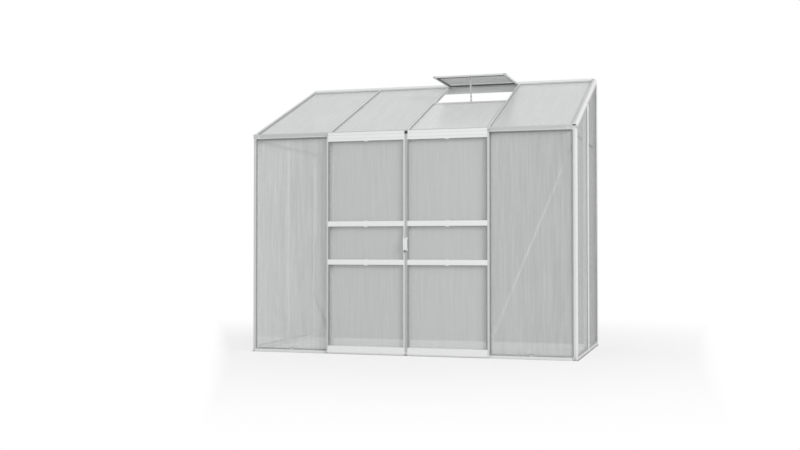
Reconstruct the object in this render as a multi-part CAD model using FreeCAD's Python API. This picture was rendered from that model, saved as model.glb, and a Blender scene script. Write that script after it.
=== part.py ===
import FreeCAD, Part
import math
import os

# Lean-to greenhouse in millimetres: a frame of white aluminium extrusions against a wall,
# twin-wall panes, two sliding door leaves hung on an eave track, and a hinged roof vent.
# X runs along the wall, Y from the front towards the wall, Z is up.
# While modelling, Y = 0 is the front glazing face. The finished pieces are moved so that
# the origin is the middle of the footprint.

# Frame sizes
BAY = 622.0
CORNER_SETBACK = 26.0
WALL_SETBACK = 40.0
EAVE_HEIGHT = 1701.0
ROOF_PITCH = 21.9
WALL = 2.0
PANE = 4.0
GLAZE_FIT = 0.3
EDGE_FIT = 1.0
RUNNING_FIT = 0.08

# Posts, bars and cills
POST = 34.0
BAR_WIDTH = 32.0
CHAMFER = 12.0
CORNER_GROOVE = 12.0
BAR_GROOVE = 10.0
WALL_POST_STOP = 26.0
CILL_UPSTAND = 27.0
PANE_SEAT = 8.0
GUIDE_LIP = 20.0
GUIDE_LIP_Y = -33.0
TIE_BELOW_EAVE = 56.0
TIE_LEG = 20.0
BRACE_WIDTH = 20.0
BRACE_THICK = 3.0
BRACE_BELOW_EAVE = 91.0
BRACE_FOOT = 100.0
ANCHOR_HOLE = 4.0
ANCHOR_INSET = 21.0
ANCHOR_END = 90.0
WALL_FIXING_LOW = 150.0
WALL_FIXING_ABOVE_EAVE = 349.0
BOLT_SHANK = 2.5
BOLT_HEAD = 4.6
BOLT_HEAD_HEIGHT = 3.0
HEAD_SIDES = 6
SHANK_SIDES = 16
BOLT_HOLE_FIT = 0.1

# Roof sections, measured square to the slope
BAR_CAP = 12.0
BAR_PROUD = 11.0
BAR_HEIGHT = 32.0
UPPER_LIP = 6.0
LOWER_LIP = 12.0
RAFTER_WIDTH = 32.0
RAFTER_HEIGHT = 42.0
RAFTER_SKIRT = 14.0
PANE_INTO_GUTTER = 14.0
PANE_INTO_RIDGE = 12.0

# Eave with gutter and door track
EAVE_DEPTH = 36.0
EAVE_FACE = 29.0
EAVE_FLANGE = 12.0
EAVE_RIBS = 3
RIB_PITCH = 7.0
RIB_HALF = 1.0
RIB_DEPTH = 0.8
TRACK_DROP = 10.0
TRACK_Y = -35.0
TRACK_LIP = 8.0

# Ridge and vent hinge
RIDGE_DEPTH = 42.0
RIDGE_RISE = 14.0
RIDGE_SLOPE = 8.0
RIDGE_BACK = 78.0
HINGE_BEAD = 3.92
HINGE_WALL = 2.0
HINGE_DROP = 5.5
HINGE_OVERLAP = 1.0
HINGE_MOUTH = 46.0

# Door leaves
LEAF_GAP = 8.0
LEAF_LAP = 10.0
DOOR_FACE = -50.0
DOOR_DEPTH = 38.0
DOOR_PANE = -24.0
STILE_FACE = 10.0
STILE_LIP = 12.0
RAIL_GROOVE = 8.0
STILE_FLANGE = 8.0
BOTTOM_RAIL_FOOT = 12.0
BOTTOM_RAIL_TOP = 62.0
DOOR_CLEAR = 4.0
LOWER_MID_RAIL = 699.5
UPPER_MID_RAIL = 990.5
MID_RAIL_FACE = 39.0
TOP_RAIL_FACE = 29.0
HOOD_CLEAR = 1.2
HOOD_DEPTH = 42.0
SEAL_THICK = 3.6
SEAL_INSET = 5.0
HANDLE_WIDTH = 15.0
HANDLE_OVERHANG = 3.5
HANDLE_FOOT = 788.0
HANDLE_HEIGHT = 97.0
HANDLE_PROUD = 22.0
HANDLE_BAR = 8.0
HANDLE_END = 13.0
HANDLE_ROUND = 6.0
BUFFER_RADIUS = 5.0
BUFFER_THICK = 4.0
BUFFER_BELOW = 8.0

# Door wheels, guides and stops
WHEEL_TREAD = 7.0
WHEEL_FLANGE = 1.5
WHEEL_WIDTH = 8.0
WHEEL_SIDES = 24
WHEEL_INSET = 40.0
WHEEL_FIT = 0.3
GUIDE_INSET = 56.0
GUIDE_LENGTH = 30.0
GUIDE_WALL = 3.0
GUIDE_CLEAR = 1.0
GUIDE_BELOW = 18.0
DOOR_TRAVEL = 600.0
STOP_LENGTH = 12.0
STOP_CLEAR = 0.5
STOP_HEIGHT = 12.0
STOP_WALL = 3.0

# Roof vent and its stay
VENT_LENGTH = 552.0
VENT_RAIL = 20.0
VENT_GROOVE = 10.0
VENT_FLOOR = 5.0
VENT_SIDE_GAP = 2.5
VENT_NECK = 9.0
CROSSBAR = 24.0
CROSSBAR_DEPTH = 17.0
PEG_RADIUS = 3.0
PEG_LENGTH = 8.0
PEG_BELOW = 6.0
PIVOT_INSET = 40.0
PIVOT_DROP = 9.0
PIVOT_PIN = 2.0
EAR_THICK = 2.0
EAR_HALF = 6.0
EAR_BELOW = 5.0
STAY_WIDTH = 14.0
STAY_THICK = 2.5
STAY_LENGTH = 208.0
STAY_LEAN = 11.5
STAY_EYE = 4.0
STAY_END = 9.0
STAY_HOLES = 4
STAY_HOLE_PITCH = 30.0
STAY_HOLE_FIT = 0.6

# Worked out from the sizes above
HALF = 2 * BAY + CORNER_SETBACK
DEPTH = CORNER_SETBACK + 2 * BAY + WALL_SETBACK
END_BAR_Y = CORNER_SETBACK + BAY
COS = math.cos(math.radians(ROOF_PITCH))
SIN = math.sin(math.radians(ROOF_PITCH))
TAN = SIN / COS
GROOVE_NEAR = WALL
GROOVE_FAR = WALL + PANE + 2 * GLAZE_FIT
GROOVE_BACK = GROOVE_FAR + WALL
PANE_FACE = WALL + GLAZE_FIT
CHAMFER_INSIDE = CHAMFER + WALL * (math.sqrt(2) - 1)

# Heights square to the slope, counted from the plane of the bar tops
LIP_TOP = -(BAR_PROUD - WALL)
LIP_UNDER = -BAR_PROUD
ROOF_PANE_TOP = LIP_UNDER - GLAZE_FIT
ROOF_PANE_UNDER = ROOF_PANE_TOP - PANE
SHELF_TOP = ROOF_PANE_UNDER - GLAZE_FIT
SHELF_UNDER = SHELF_TOP - WALL

# Eave and track levels
GUTTER_UNDER = EAVE_HEIGHT - EAVE_FACE
TRACK_UNDER = GUTTER_UNDER - TRACK_DROP
TRACK_TOP = TRACK_UNDER + TRACK_LIP
BETWEEN_POSTS = HALF - POST
TIE_HEIGHT = EAVE_HEIGHT - TIE_BELOW_EAVE
BRACE_TOP = EAVE_HEIGHT - BRACE_BELOW_EAVE
WALL_FIXING_HIGH = EAVE_HEIGHT + WALL_FIXING_ABOVE_EAVE

# Ridge and hinge line
RIDGE_FRONT = DEPTH - RIDGE_DEPTH
HINGE_BORE = HINGE_BEAD + RUNNING_FIT
HINGE_OUTER = HINGE_BORE + HINGE_WALL
HINGE_Y = RIDGE_FRONT - HINGE_OUTER + HINGE_OVERLAP
HINGE_Z = EAVE_HEIGHT + HINGE_Y * TAN - HINGE_DROP
HINGE_S = HINGE_Y * COS + (HINGE_Z - EAVE_HEIGHT) * SIN
HINGE_T = -HINGE_DROP * COS
BARS_END_Y = HINGE_Y - HINGE_OUTER - GLAZE_FIT

# Door leaf edges
LEAF_IN = LEAF_GAP / 2
LEAF_OUT = BAY + LEAF_LAP
INNER_RAIL_END = LEAF_IN + STILE_FACE
OUTER_RAIL_END = LEAF_OUT - STILE_FACE
DOOR_BACK = DOOR_FACE + DOOR_DEPTH
STILE_FOOT = GUIDE_LIP + DOOR_CLEAR
STILE_TOP = TRACK_UNDER - DOOR_CLEAR
TOP_RAIL_FOOT = STILE_TOP - TOP_RAIL_FACE
WHEEL_Z = TRACK_TOP + WHEEL_FIT + WHEEL_TREAD
HOOD_TOP = WHEEL_Z + WHEEL_TREAD + WHEEL_FLANGE + HOOD_CLEAR + WALL
WHEEL_X = (LEAF_IN + WHEEL_INSET, LEAF_OUT - WHEEL_INSET)
GUIDE_X = (LEAF_IN + GUIDE_INSET, LEAF_OUT - GUIDE_INSET)

# Vent and stay
VENT_X = BAY / 2
VENT_HALF = BAY / 2 - BAR_CAP / 2 - VENT_SIDE_GAP
VENT_UNDER = LIP_TOP + GLAZE_FIT - HINGE_T
VENT_GROOVE_UNDER = VENT_UNDER + VENT_FLOOR
VENT_GROOVE_TOP = VENT_GROOVE_UNDER + PANE + 2 * GLAZE_FIT
VENT_TOP = VENT_GROOVE_TOP + WALL
CROSSBAR_LOW_S = HINGE_S - VENT_LENGTH
CROSSBAR_HIGH_S = CROSSBAR_LOW_S + CROSSBAR
PIVOT_U = VENT_LENGTH - PIVOT_INSET

# The footprint's middle becomes the origin
FRONT_MOST = DOOR_FACE - HANDLE_PROUD
Y_MID = (FRONT_MOST + DEPTH) / 2


def vec(x, y, z):
    return FreeCAD.Vector(x, y, z)


def swept(loops, place, travel):
    """Extrude an outline with its hollows. place turns a pair of numbers into a point."""
    wires = []
    for loop in loops:
        points = [place(a, b) for a, b in loop]
        wires.append(Part.makePolygon(points + points[:1]))
    face = Part.makeFace(wires, "Part::FaceMakerBullseye")
    return face.extrude(travel)


def along_x(x0, x1, outline, *hollows):
    """Outline points are (y, z)."""
    return swept((outline, *hollows), lambda y, z: vec(x0, y, z), vec(x1 - x0, 0, 0))


def along_y(y0, y1, outline, *hollows):
    """Outline points are (x, z)."""
    return swept((outline, *hollows), lambda x, z: vec(x, y0, z), vec(0, y1 - y0, 0))


def along_z(z0, z1, outline, *hollows):
    """Outline points are (x, y)."""
    return swept((outline, *hollows), lambda x, y: vec(x, y, z0), vec(0, 0, z1 - z0))


def roof_point(s, t):
    """The (y, z) of a point s up the slope and t square to it."""
    return (s * COS - t * SIN, EAVE_HEIGHT + s * SIN + t * COS)


def roof_height(y, t=0.0):
    """The height at y of the plane that lies t above the bar tops, square to the slope."""
    return EAVE_HEIGHT + y * TAN + t / COS


def along_slope(outline, *hollows):
    """Outline points are (x, t). Runs past both ends of the roof, to be trimmed there."""
    start = -2 * EAVE_DEPTH
    length = DEPTH / COS + 4 * EAVE_DEPTH
    return swept((outline, *hollows), lambda x, t: vec(x, *roof_point(start, t)),
                 vec(0, length * COS, length * SIN))


def box(x0, x1, y0, y1, z0, z1):
    return along_z(z0, z1, [(x0, y0), (x1, y0), (x1, y1), (x0, y1)])


def rod(radius, start, end):
    """A round rod between two points."""
    direction = vec(*end).sub(vec(*start))
    return Part.makeCylinder(radius, direction.Length, vec(*start), direction)


def joined(*shapes):
    return shapes[0].fuse(list(shapes[1:])).removeSplitter()


def mirrored(shape):
    return shape.mirror(vec(0, 0, 0), vec(1, 0, 0))


def group(*shapes):
    return Part.makeCompound(list(shapes))


def below_slope(y0, y1, t):
    """Everything under the plane at t, between two depths."""
    return along_x(-HALF, HALF, [(y0, 0), (y1, 0), (y1, roof_height(y1, t)), (y0, roof_height(y0, t))])


def ring(radius, sides, along):
    """The corners of a regular polygon about the z axis. radius reaches them."""
    turns = [2 * math.pi * side / sides for side in range(sides)]
    return [vec(radius * math.cos(turn), radius * math.sin(turn), along) for turn in turns]


def flat_face(*corners):
    return Part.Face(Part.makePolygon(corners + corners[:1]))


def stood(shape, at, direction):
    """Move a shape from the z axis to a point, and turn it to a direction."""
    shape.Placement = FreeCAD.Placement(vec(*at), FreeCAD.Rotation(vec(0, 0, 1), direction))
    return shape


def prism(radius, sides, start, end):
    """A bar with flat sides between two points. radius reaches its corners."""
    direction = vec(*end).sub(vec(*start))
    bar = flat_face(*ring(radius, sides, 0)).extrude(vec(0, 0, direction.Length))
    return stood(bar, start, direction)


def faceted(points, sides, at, direction):
    """A turned solid with flat sides for each round. Points are (along, radius), from at along direction."""
    rings = [ring(radius, sides, along) for along, radius in points]
    faces = []
    for here, beyond in zip(rings, rings[1:] + rings[:1]):
        for side in range(sides):
            faces.append(flat_face(here[side - 1], here[side], beyond[side], beyond[side - 1]))
    solid = Part.Solid(Part.Shell(faces))
    if solid.Volume < 0:
        solid.reverse()
    return stood(solid, at, direction)


def bolt(at, inward, grip):
    """A hexagon-head bolt. at is under the head, and inward is the way the shank points."""
    under = vec(*at)
    top = under.sub(vec(*inward).multiply(BOLT_HEAD_HEIGHT))
    shank = prism(BOLT_SHANK, SHANK_SIDES, under, under.add(vec(*inward).multiply(grip)))
    return joined(prism(BOLT_HEAD, HEAD_SIDES, top, under), shank)


def drilled(shape, at, inward, grip):
    radius = BOLT_SHANK + BOLT_HOLE_FIT
    return shape.cut(Part.makeCylinder(radius, grip + 1.0, vec(*at), inward))


def corner_post():
    """Right front post: a chamfered box with a glazing groove in each face beside a pane."""
    root = POST - CORNER_GROOVE
    outer = [(CHAMFER, 0), (POST, 0), (POST, GROOVE_NEAR), (root, GROOVE_NEAR), (root, GROOVE_FAR),
             (POST, GROOVE_FAR), (POST, POST), (GROOVE_FAR, POST), (GROOVE_FAR, root),
             (GROOVE_NEAR, root), (GROOVE_NEAR, POST), (0, POST), (0, CHAMFER)]
    inside = POST - WALL
    step = root - WALL
    hollow = [(CHAMFER_INSIDE, WALL), (step, WALL), (step, GROOVE_BACK), (inside, GROOVE_BACK),
              (inside, inside), (GROOVE_BACK, inside), (GROOVE_BACK, step), (WALL, step),
              (WALL, CHAMFER_INSIDE)]
    from_end = [[(HALF - a, b) for a, b in loop] for loop in (outer, hollow)]
    return along_z(0, GUTTER_UNDER, *from_end)


def door_post():
    """Right door post, grooved on the side of the fixed pane only."""
    side = BAR_WIDTH / 2
    root = side - CORNER_GROOVE
    outer = [(-side, 0), (side, 0), (side, GROOVE_NEAR), (root, GROOVE_NEAR), (root, GROOVE_FAR),
             (side, GROOVE_FAR), (side, POST), (-side, POST)]
    inside = side - WALL
    hollow = [(-inside, WALL), (root - WALL, WALL), (root - WALL, GROOVE_BACK),
              (inside, GROOVE_BACK), (inside, POST - WALL), (-inside, POST - WALL)]
    placed = [[(BAY + a, b) for a, b in loop] for loop in (outer, hollow)]
    return along_z(WALL, TRACK_UNDER, *placed)


def end_bar():
    """Middle bar of the right end wall, grooved on both sides and cut to the slope."""
    side = BAR_WIDTH / 2
    root = side - BAR_GROOVE
    outer = [(0, -side), (0, side), (GROOVE_NEAR, side), (GROOVE_NEAR, root), (GROOVE_FAR, root),
             (GROOVE_FAR, side), (POST, side), (POST, -side), (GROOVE_FAR, -side),
             (GROOVE_FAR, -root), (GROOVE_NEAR, -root), (GROOVE_NEAR, -side)]
    neck = root - WALL
    hollow = [(WALL, -neck), (WALL, neck), (GROOVE_BACK, neck), (GROOVE_BACK, side - WALL),
              (POST - WALL, side - WALL), (POST - WALL, WALL - side), (GROOVE_BACK, WALL - side),
              (GROOVE_BACK, -neck)]
    placed = [[(HALF - a, END_BAR_Y + b) for a, b in loop] for loop in (outer, hollow)]
    bar = along_z(WALL, roof_height(DEPTH), *placed)
    return bar.common(below_slope(0, DEPTH, -(RAFTER_HEIGHT + RAFTER_SKIRT)))


def wall_post():
    """Right wall post: a flange that screws to the wall and a channel for the end pane."""
    outer = [(0, 0), (RAFTER_WIDTH, 0), (RAFTER_WIDTH, WALL), (GROOVE_BACK, WALL),
             (GROOVE_BACK, WALL_SETBACK), (GROOVE_FAR, WALL_SETBACK), (GROOVE_FAR, WALL_POST_STOP),
             (GROOVE_NEAR, WALL_POST_STOP), (GROOVE_NEAR, WALL_SETBACK), (0, WALL_SETBACK)]
    stop = WALL_POST_STOP - WALL
    hollow = [(GROOVE_NEAR, WALL), (GROOVE_FAR, WALL), (GROOVE_FAR, stop), (GROOVE_NEAR, stop)]
    placed = [[(HALF - a, DEPTH - b) for a, b in loop] for loop in (outer, hollow)]
    post = along_z(0, roof_height(DEPTH), *placed)
    post = post.common(below_slope(0, DEPTH, -(RAFTER_HEIGHT + RAFTER_SKIRT)))
    x = HALF - wall_fixing_inset()
    for z in (WALL_FIXING_LOW, WALL_FIXING_HIGH):
        post = post.cut(rod(ANCHOR_HOLE, (x, DEPTH - 2 * WALL, z), (x, DEPTH + WALL, z)))
    return post


def wall_fixing_inset():
    """The screw line runs down the middle of the flange that lies inside the channel."""
    return (GROOVE_BACK + RAFTER_WIDTH) / 2


def front_cill():
    """Cill between the corner posts, with the lip that guides the foot of the doors."""
    lip_front = GUIDE_LIP_Y - WALL / 2
    lip_back = GUIDE_LIP_Y + WALL / 2
    outline = [(lip_front, 0), (POST, 0), (POST, WALL), (GROOVE_BACK, WALL),
               (GROOVE_BACK, CILL_UPSTAND), (GROOVE_FAR, CILL_UPSTAND), (GROOVE_FAR, PANE_SEAT),
               (GROOVE_NEAR, PANE_SEAT), (GROOVE_NEAR, CILL_UPSTAND), (0, CILL_UPSTAND), (0, WALL),
               (lip_back, WALL), (lip_back, GUIDE_LIP), (lip_front, GUIDE_LIP)]
    cill = along_x(-BETWEEN_POSTS, BETWEEN_POSTS, outline)
    doorway = BAY + BAR_WIDTH / 2
    cill = cill.cut(box(-doorway, doorway, -WALL, POST + 1, WALL, CILL_UPSTAND + 1))
    for x in (-1.5 * BAY, 1.5 * BAY):
        cill = cill.cut(rod(ANCHOR_HOLE, (x, ANCHOR_INSET, -1), (x, ANCHOR_INSET, WALL + 1)))
    return cill


def end_cill():
    """Right end cill, with the middle bar standing in a gap in its upstand."""
    outline = [(0, 0), (POST, 0), (POST, WALL), (GROOVE_BACK, WALL),
               (GROOVE_BACK, CILL_UPSTAND), (GROOVE_FAR, CILL_UPSTAND), (GROOVE_FAR, PANE_SEAT),
               (GROOVE_NEAR, PANE_SEAT), (GROOVE_NEAR, CILL_UPSTAND), (0, CILL_UPSTAND)]
    cill = along_y(POST, DEPTH - WALL_SETBACK, [(HALF - a, z) for a, z in outline])
    side = BAR_WIDTH / 2
    cill = cill.cut(box(HALF - POST, HALF, END_BAR_Y - side, END_BAR_Y + side, WALL, 2 * CILL_UPSTAND))
    x = HALF - ANCHOR_INSET
    for y in (ANCHOR_END, DEPTH - ANCHOR_END):
        cill = cill.cut(rod(ANCHOR_HOLE, (x, y, -1), (x, y, WALL + 1)))
    return cill


def eave_track():
    """Eave: ribbed face, gutter and flange over the full width, track between the posts."""
    face = [(0, GUTTER_UNDER)]
    for rib in range(EAVE_RIBS):
        z = EAVE_HEIGHT - (EAVE_RIBS - rib) * RIB_PITCH
        face += [(0, z - RIB_HALF), (RIB_DEPTH, z - RIB_HALF), (RIB_DEPTH, z + RIB_HALF), (0, z + RIB_HALF)]
    flange_end = EAVE_DEPTH + EAVE_FLANGE
    back = EAVE_DEPTH - WALL
    gutter = face + [(0, EAVE_HEIGHT), (WALL, EAVE_HEIGHT), (WALL, GUTTER_UNDER + WALL),
                     (back, GUTTER_UNDER + WALL), (back, roof_height(back, SHELF_UNDER)),
                     (flange_end, roof_height(flange_end, SHELF_UNDER)),
                     (flange_end, roof_height(flange_end, SHELF_UNDER - WALL)),
                     (EAVE_DEPTH, roof_height(EAVE_DEPTH, SHELF_UNDER - WALL)),
                     (EAVE_DEPTH, GUTTER_UNDER)]
    lip_front = TRACK_Y - WALL / 2
    lip_back = TRACK_Y + WALL / 2
    track = [(0, GUTTER_UNDER), (0, TRACK_UNDER + WALL), (lip_back, TRACK_UNDER + WALL),
             (lip_back, TRACK_TOP), (lip_front, TRACK_TOP), (lip_front, TRACK_UNDER),
             (WALL, TRACK_UNDER), (WALL, GUTTER_UNDER)]
    pane_lip = [(GROOVE_FAR, TRACK_UNDER), (GROOVE_BACK, TRACK_UNDER), (GROOVE_BACK, GUTTER_UNDER),
                (GROOVE_FAR, GUTTER_UNDER)]
    short = [point for point in gutter if point[0] <= EAVE_DEPTH]
    inside = HALF - RAFTER_WIDTH
    ends = [along_x(x0, x1, short) for x0, x1 in ((-HALF, -inside), (inside, HALF))]
    lower = [along_x(-BETWEEN_POSTS, BETWEEN_POSTS, outline) for outline in (track, pane_lip)]
    return joined(along_x(-inside, inside, gutter), *ends, *lower)


def end_rafter():
    """Right end rafter: chamfered box, groove for the roof pane, skirt over the end panes."""
    skirt = -(RAFTER_HEIGHT + RAFTER_SKIRT)
    root = RAFTER_WIDTH - LOWER_LIP
    outer = [(CHAMFER, 0), (RAFTER_WIDTH, 0), (RAFTER_WIDTH, LIP_UNDER), (root, LIP_UNDER),
             (root, SHELF_TOP), (RAFTER_WIDTH, SHELF_TOP), (RAFTER_WIDTH, -RAFTER_HEIGHT),
             (GROOVE_BACK, -RAFTER_HEIGHT), (GROOVE_BACK, skirt), (GROOVE_FAR, skirt),
             (GROOVE_FAR, -RAFTER_HEIGHT), (GROOVE_NEAR, -RAFTER_HEIGHT), (GROOVE_NEAR, skirt),
             (0, skirt), (0, -CHAMFER)]
    inside = RAFTER_WIDTH - WALL
    step = root - WALL
    floor = WALL - RAFTER_HEIGHT
    hollow = [(CHAMFER_INSIDE, -WALL), (inside, -WALL), (inside, LIP_TOP), (step, LIP_TOP),
              (step, SHELF_UNDER), (inside, SHELF_UNDER), (inside, floor), (WALL, floor),
              (WALL, -CHAMFER_INSIDE)]
    rafter = along_slope(*[[(HALF - a, t) for a, t in loop] for loop in (outer, hollow)])
    rafter = rafter.common(box(0, HALF, WALL, DEPTH, 0, 2 * EAVE_HEIGHT))
    return rafter.cut(below_slope(0, EAVE_DEPTH, SHELF_UNDER))


def roof_bar(x):
    """Glazing bar: a narrow box that stands above the panes, with lips over and under them."""
    half = BAR_CAP / 2
    upper = half + UPPER_LIP
    lower = half + LOWER_LIP
    right = [(half, 0), (half, LIP_TOP), (upper, LIP_TOP), (upper, LIP_UNDER), (half, LIP_UNDER),
             (half, SHELF_TOP), (lower, SHELF_TOP), (lower, SHELF_UNDER), (half, SHELF_UNDER),
             (half, -BAR_HEIGHT)]
    outer = right + [(-a, t) for a, t in reversed(right)]
    inside = half - WALL
    hollow = [(inside, -WALL), (inside, WALL - BAR_HEIGHT), (-inside, WALL - BAR_HEIGHT), (-inside, -WALL)]
    bar = along_slope(*[[(x + a, t) for a, t in loop] for loop in (outer, hollow)])
    bar = bar.common(box(-HALF, HALF, WALL, DEPTH - WALL, 0, 2 * EAVE_HEIGHT))
    bar = bar.cut(below_slope(0, EAVE_DEPTH, SHELF_UNDER))
    flange_end = EAVE_DEPTH + EAVE_FLANGE
    bar = bar.cut(under_flange(EAVE_DEPTH, flange_end))
    top = roof_height(DEPTH) + RIDGE_DEPTH
    behind_hinge = [(BARS_END_Y, roof_height(BARS_END_Y, SHELF_UNDER)), (BARS_END_Y, top),
                    (DEPTH, top), (DEPTH, roof_height(DEPTH, SHELF_UNDER))]
    return bar.cut(along_x(-HALF, HALF, behind_hinge))


def under_flange(y0, y1):
    """The room that the eave's flange takes below the bars."""
    low = SHELF_UNDER - WALL
    return along_x(-HALF, HALF, [(y0, roof_height(y0, low)), (y1, roof_height(y1, low)),
                                 (y1, roof_height(y1, SHELF_UNDER)), (y0, roof_height(y0, SHELF_UNDER))])


def ridge_bar():
    """Ridge: a box on the wall, a shelf under the panes and the vent's hinge channel."""
    end = HALF - RAFTER_WIDTH
    plate = DEPTH - WALL
    top = roof_height(RIDGE_FRONT) + RIDGE_RISE
    outer = [(RIDGE_FRONT, roof_height(RIDGE_FRONT, LIP_UNDER)), (RIDGE_FRONT, top),
             (DEPTH, top + RIDGE_SLOPE), (DEPTH, top - RIDGE_BACK), (plate, top - RIDGE_BACK),
             (plate, roof_height(plate, LIP_UNDER))]
    inner = RIDGE_FRONT + WALL
    hollow = [(inner, roof_height(inner, LIP_UNDER + WALL)), (inner, top - WALL),
              (plate, top + RIDGE_SLOPE - 2 * WALL), (plate, roof_height(plate, LIP_UNDER + WALL))]
    shelf = [(RIDGE_FRONT, roof_height(RIDGE_FRONT, SHELF_UNDER)),
             (RIDGE_FRONT, roof_height(RIDGE_FRONT, SHELF_TOP)),
             (plate, roof_height(plate, SHELF_TOP)), (plate, roof_height(plate, SHELF_UNDER))]
    ring = rod(HINGE_OUTER, (-end, HINGE_Y, HINGE_Z), (end, HINGE_Y, HINGE_Z))
    body = joined(along_x(-end, end, outer, hollow), along_x(-end, end, shelf), ring)
    reach = 2 * HINGE_OUTER
    rise = reach * math.tan(math.radians(HINGE_MOUTH))
    mouth = along_x(-end, end, [(HINGE_Y, HINGE_Z), (HINGE_Y - reach, HINGE_Z + rise),
                                (HINGE_Y - reach, HINGE_Z - rise)])
    bore = rod(HINGE_BORE, (-end, HINGE_Y, HINGE_Z), (end, HINGE_Y, HINGE_Z))
    return body.cut([mouth, bore])


def end_tie():
    """Right end tie: an angle across the inside of the end wall below the eave."""
    half = TIE_LEG / 2
    low = TIE_HEIGHT - half
    high = TIE_HEIGHT + half
    outline = [(POST, low), (POST, high), (POST + TIE_LEG, high), (POST + TIE_LEG, high - WALL),
               (POST + WALL, high - WALL), (POST + WALL, low)]
    tie = along_y(GROOVE_BACK, DEPTH - WALL, [(HALF - a, z) for a, z in outline])
    for at in tie_bolts():
        tie = drilled(tie, at, vec(1, 0, 0), 2 * WALL)
    return tie


def tie_bolts():
    """Bolt places on the right tie, under the heads."""
    x = HALF - POST - WALL
    return [(x, POST / 2, TIE_HEIGHT - WALL), (x, END_BAR_Y, TIE_HEIGHT - WALL)]


def brace_ends():
    """Foot and top of the right brace, in the plane of the front wall."""
    return (BAY, BRACE_FOOT), (HALF - POST / 2, BRACE_TOP)


def brace():
    """Right brace: a flat strip with round ends, bolted behind the posts."""
    (x0, z0), (x1, z1) = brace_ends()
    length = math.hypot(x1 - x0, z1 - z0)
    side = vec((z0 - z1) / length, 0, (x1 - x0) / length).multiply(BRACE_WIDTH / 2)
    along = vec((x1 - x0) / length, 0, (z1 - z0) / length).multiply(BRACE_WIDTH / 2)
    foot = vec(x0, POST, z0)
    top = vec(x1, POST, z1)
    corners = [foot.add(side), top.add(side), top.sub(side), foot.sub(side)]
    edges = [Part.LineSegment(corners[0], corners[1]).toShape(),
             Part.Arc(corners[1], top.add(along), corners[2]).toShape(),
             Part.LineSegment(corners[2], corners[3]).toShape(),
             Part.Arc(corners[3], foot.sub(along), corners[0]).toShape()]
    strip = Part.Face(Part.Wire(edges)).extrude(vec(0, BRACE_THICK, 0))
    for at in brace_bolts():
        strip = drilled(strip, at, vec(0, -1, 0), BRACE_THICK + WALL)
    return strip


def brace_bolts():
    """Bolt places on the right brace, under the heads."""
    return [(x, POST + BRACE_THICK, z) for x, z in brace_ends()]


def frame_bolts():
    bolts = [bolt(at, vec(0, -1, 0), BRACE_THICK + WALL) for at in brace_bolts()]
    bolts += [bolt(at, vec(1, 0, 0), 2 * WALL) for at in tie_bolts()]
    return group(*bolts, *[mirrored(b) for b in bolts])


def front_pane():
    x0 = BAY + BAR_WIDTH / 2 - CORNER_GROOVE + EDGE_FIT
    x1 = HALF - POST + CORNER_GROOVE - EDGE_FIT
    return box(x0, x1, PANE_FACE, PANE_FACE + PANE, PANE_SEAT, GUTTER_UNDER - EDGE_FIT)


def end_panes():
    """The two panes of the right end wall, cut to the slope."""
    bar = BAR_WIDTH / 2 - BAR_GROOVE + EDGE_FIT
    spans = [(POST - CORNER_GROOVE + EDGE_FIT, END_BAR_Y - bar),
             (END_BAR_Y + bar, DEPTH - WALL_POST_STOP - EDGE_FIT)]
    under = -(RAFTER_HEIGHT + EDGE_FIT)
    x1 = HALF - PANE_FACE
    panes = [along_x(x1 - PANE, x1, [(y0, PANE_SEAT), (y1, PANE_SEAT), (y1, roof_height(y1, under)),
                                     (y0, roof_height(y0, under))]) for y0, y1 in spans]
    return group(*panes)


def roof_pane(x0, x1, s1):
    """A roof pane from over the gutter up to s1."""
    s0 = (EAVE_DEPTH - PANE_INTO_GUTTER) / COS
    outline = [roof_point(s0, ROOF_PANE_UNDER), roof_point(s1, ROOF_PANE_UNDER),
               roof_point(s1, ROOF_PANE_TOP), roof_point(s0, ROOF_PANE_TOP)]
    return along_x(x0, x1, outline)


def roof_panes():
    """The three full-length roof panes: both bays on the left and the last on the right."""
    web = BAR_CAP / 2 + EDGE_FIT
    end = HALF - RAFTER_WIDTH + LOWER_LIP - EDGE_FIT
    top = (RIDGE_FRONT + PANE_INTO_RIDGE) / COS
    return group(roof_pane(-end, -BAY - web, top), roof_pane(-BAY + web, -web, top),
                 roof_pane(BAY + web, end, top))


def vent_bay_pane():
    web = BAR_CAP / 2 + EDGE_FIT
    return roof_pane(web, BAY - web, CROSSBAR_LOW_S - EDGE_FIT)


def vent_crossbar():
    """Crossbar under the foot of the vent, with the peg for the stay on its upper side."""
    low = CROSSBAR_LOW_S
    high = CROSSBAR_HIGH_S
    lip = low - BAR_GROOVE
    under = LIP_TOP - CROSSBAR_DEPTH
    outer = [(low, LIP_UNDER), (lip, LIP_UNDER), (lip, LIP_TOP), (high, LIP_TOP), (high, under),
             (low, under), (low, SHELF_UNDER), (lip, SHELF_UNDER), (lip, SHELF_TOP), (low, SHELF_TOP)]
    hollow = [(low + WALL, LIP_UNDER), (high - WALL, LIP_UNDER), (high - WALL, under + WALL),
              (low + WALL, under + WALL)]
    clear = BAR_CAP / 2 + LOWER_LIP + GLAZE_FIT
    bar = along_x(clear, BAY - clear, *[[roof_point(s, t) for s, t in loop] for loop in (outer, hollow)])
    web = BAR_CAP / 2 + EDGE_FIT
    tongue = [roof_point(low, ROOF_PANE_UNDER), roof_point(high, ROOF_PANE_UNDER),
              roof_point(high, ROOF_PANE_TOP), roof_point(low, ROOF_PANE_TOP)]
    tongues = [along_x(web, clear + WALL, tongue), along_x(BAY - clear - WALL, BAY - web, tongue)]
    peg_t = LIP_TOP - PEG_BELOW
    peg = rod(PEG_RADIUS, (VENT_X, *roof_point(high - WALL, peg_t)),
              (VENT_X, *roof_point(high + PEG_LENGTH, peg_t)))
    return joined(bar, *tongues, peg)


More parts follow.
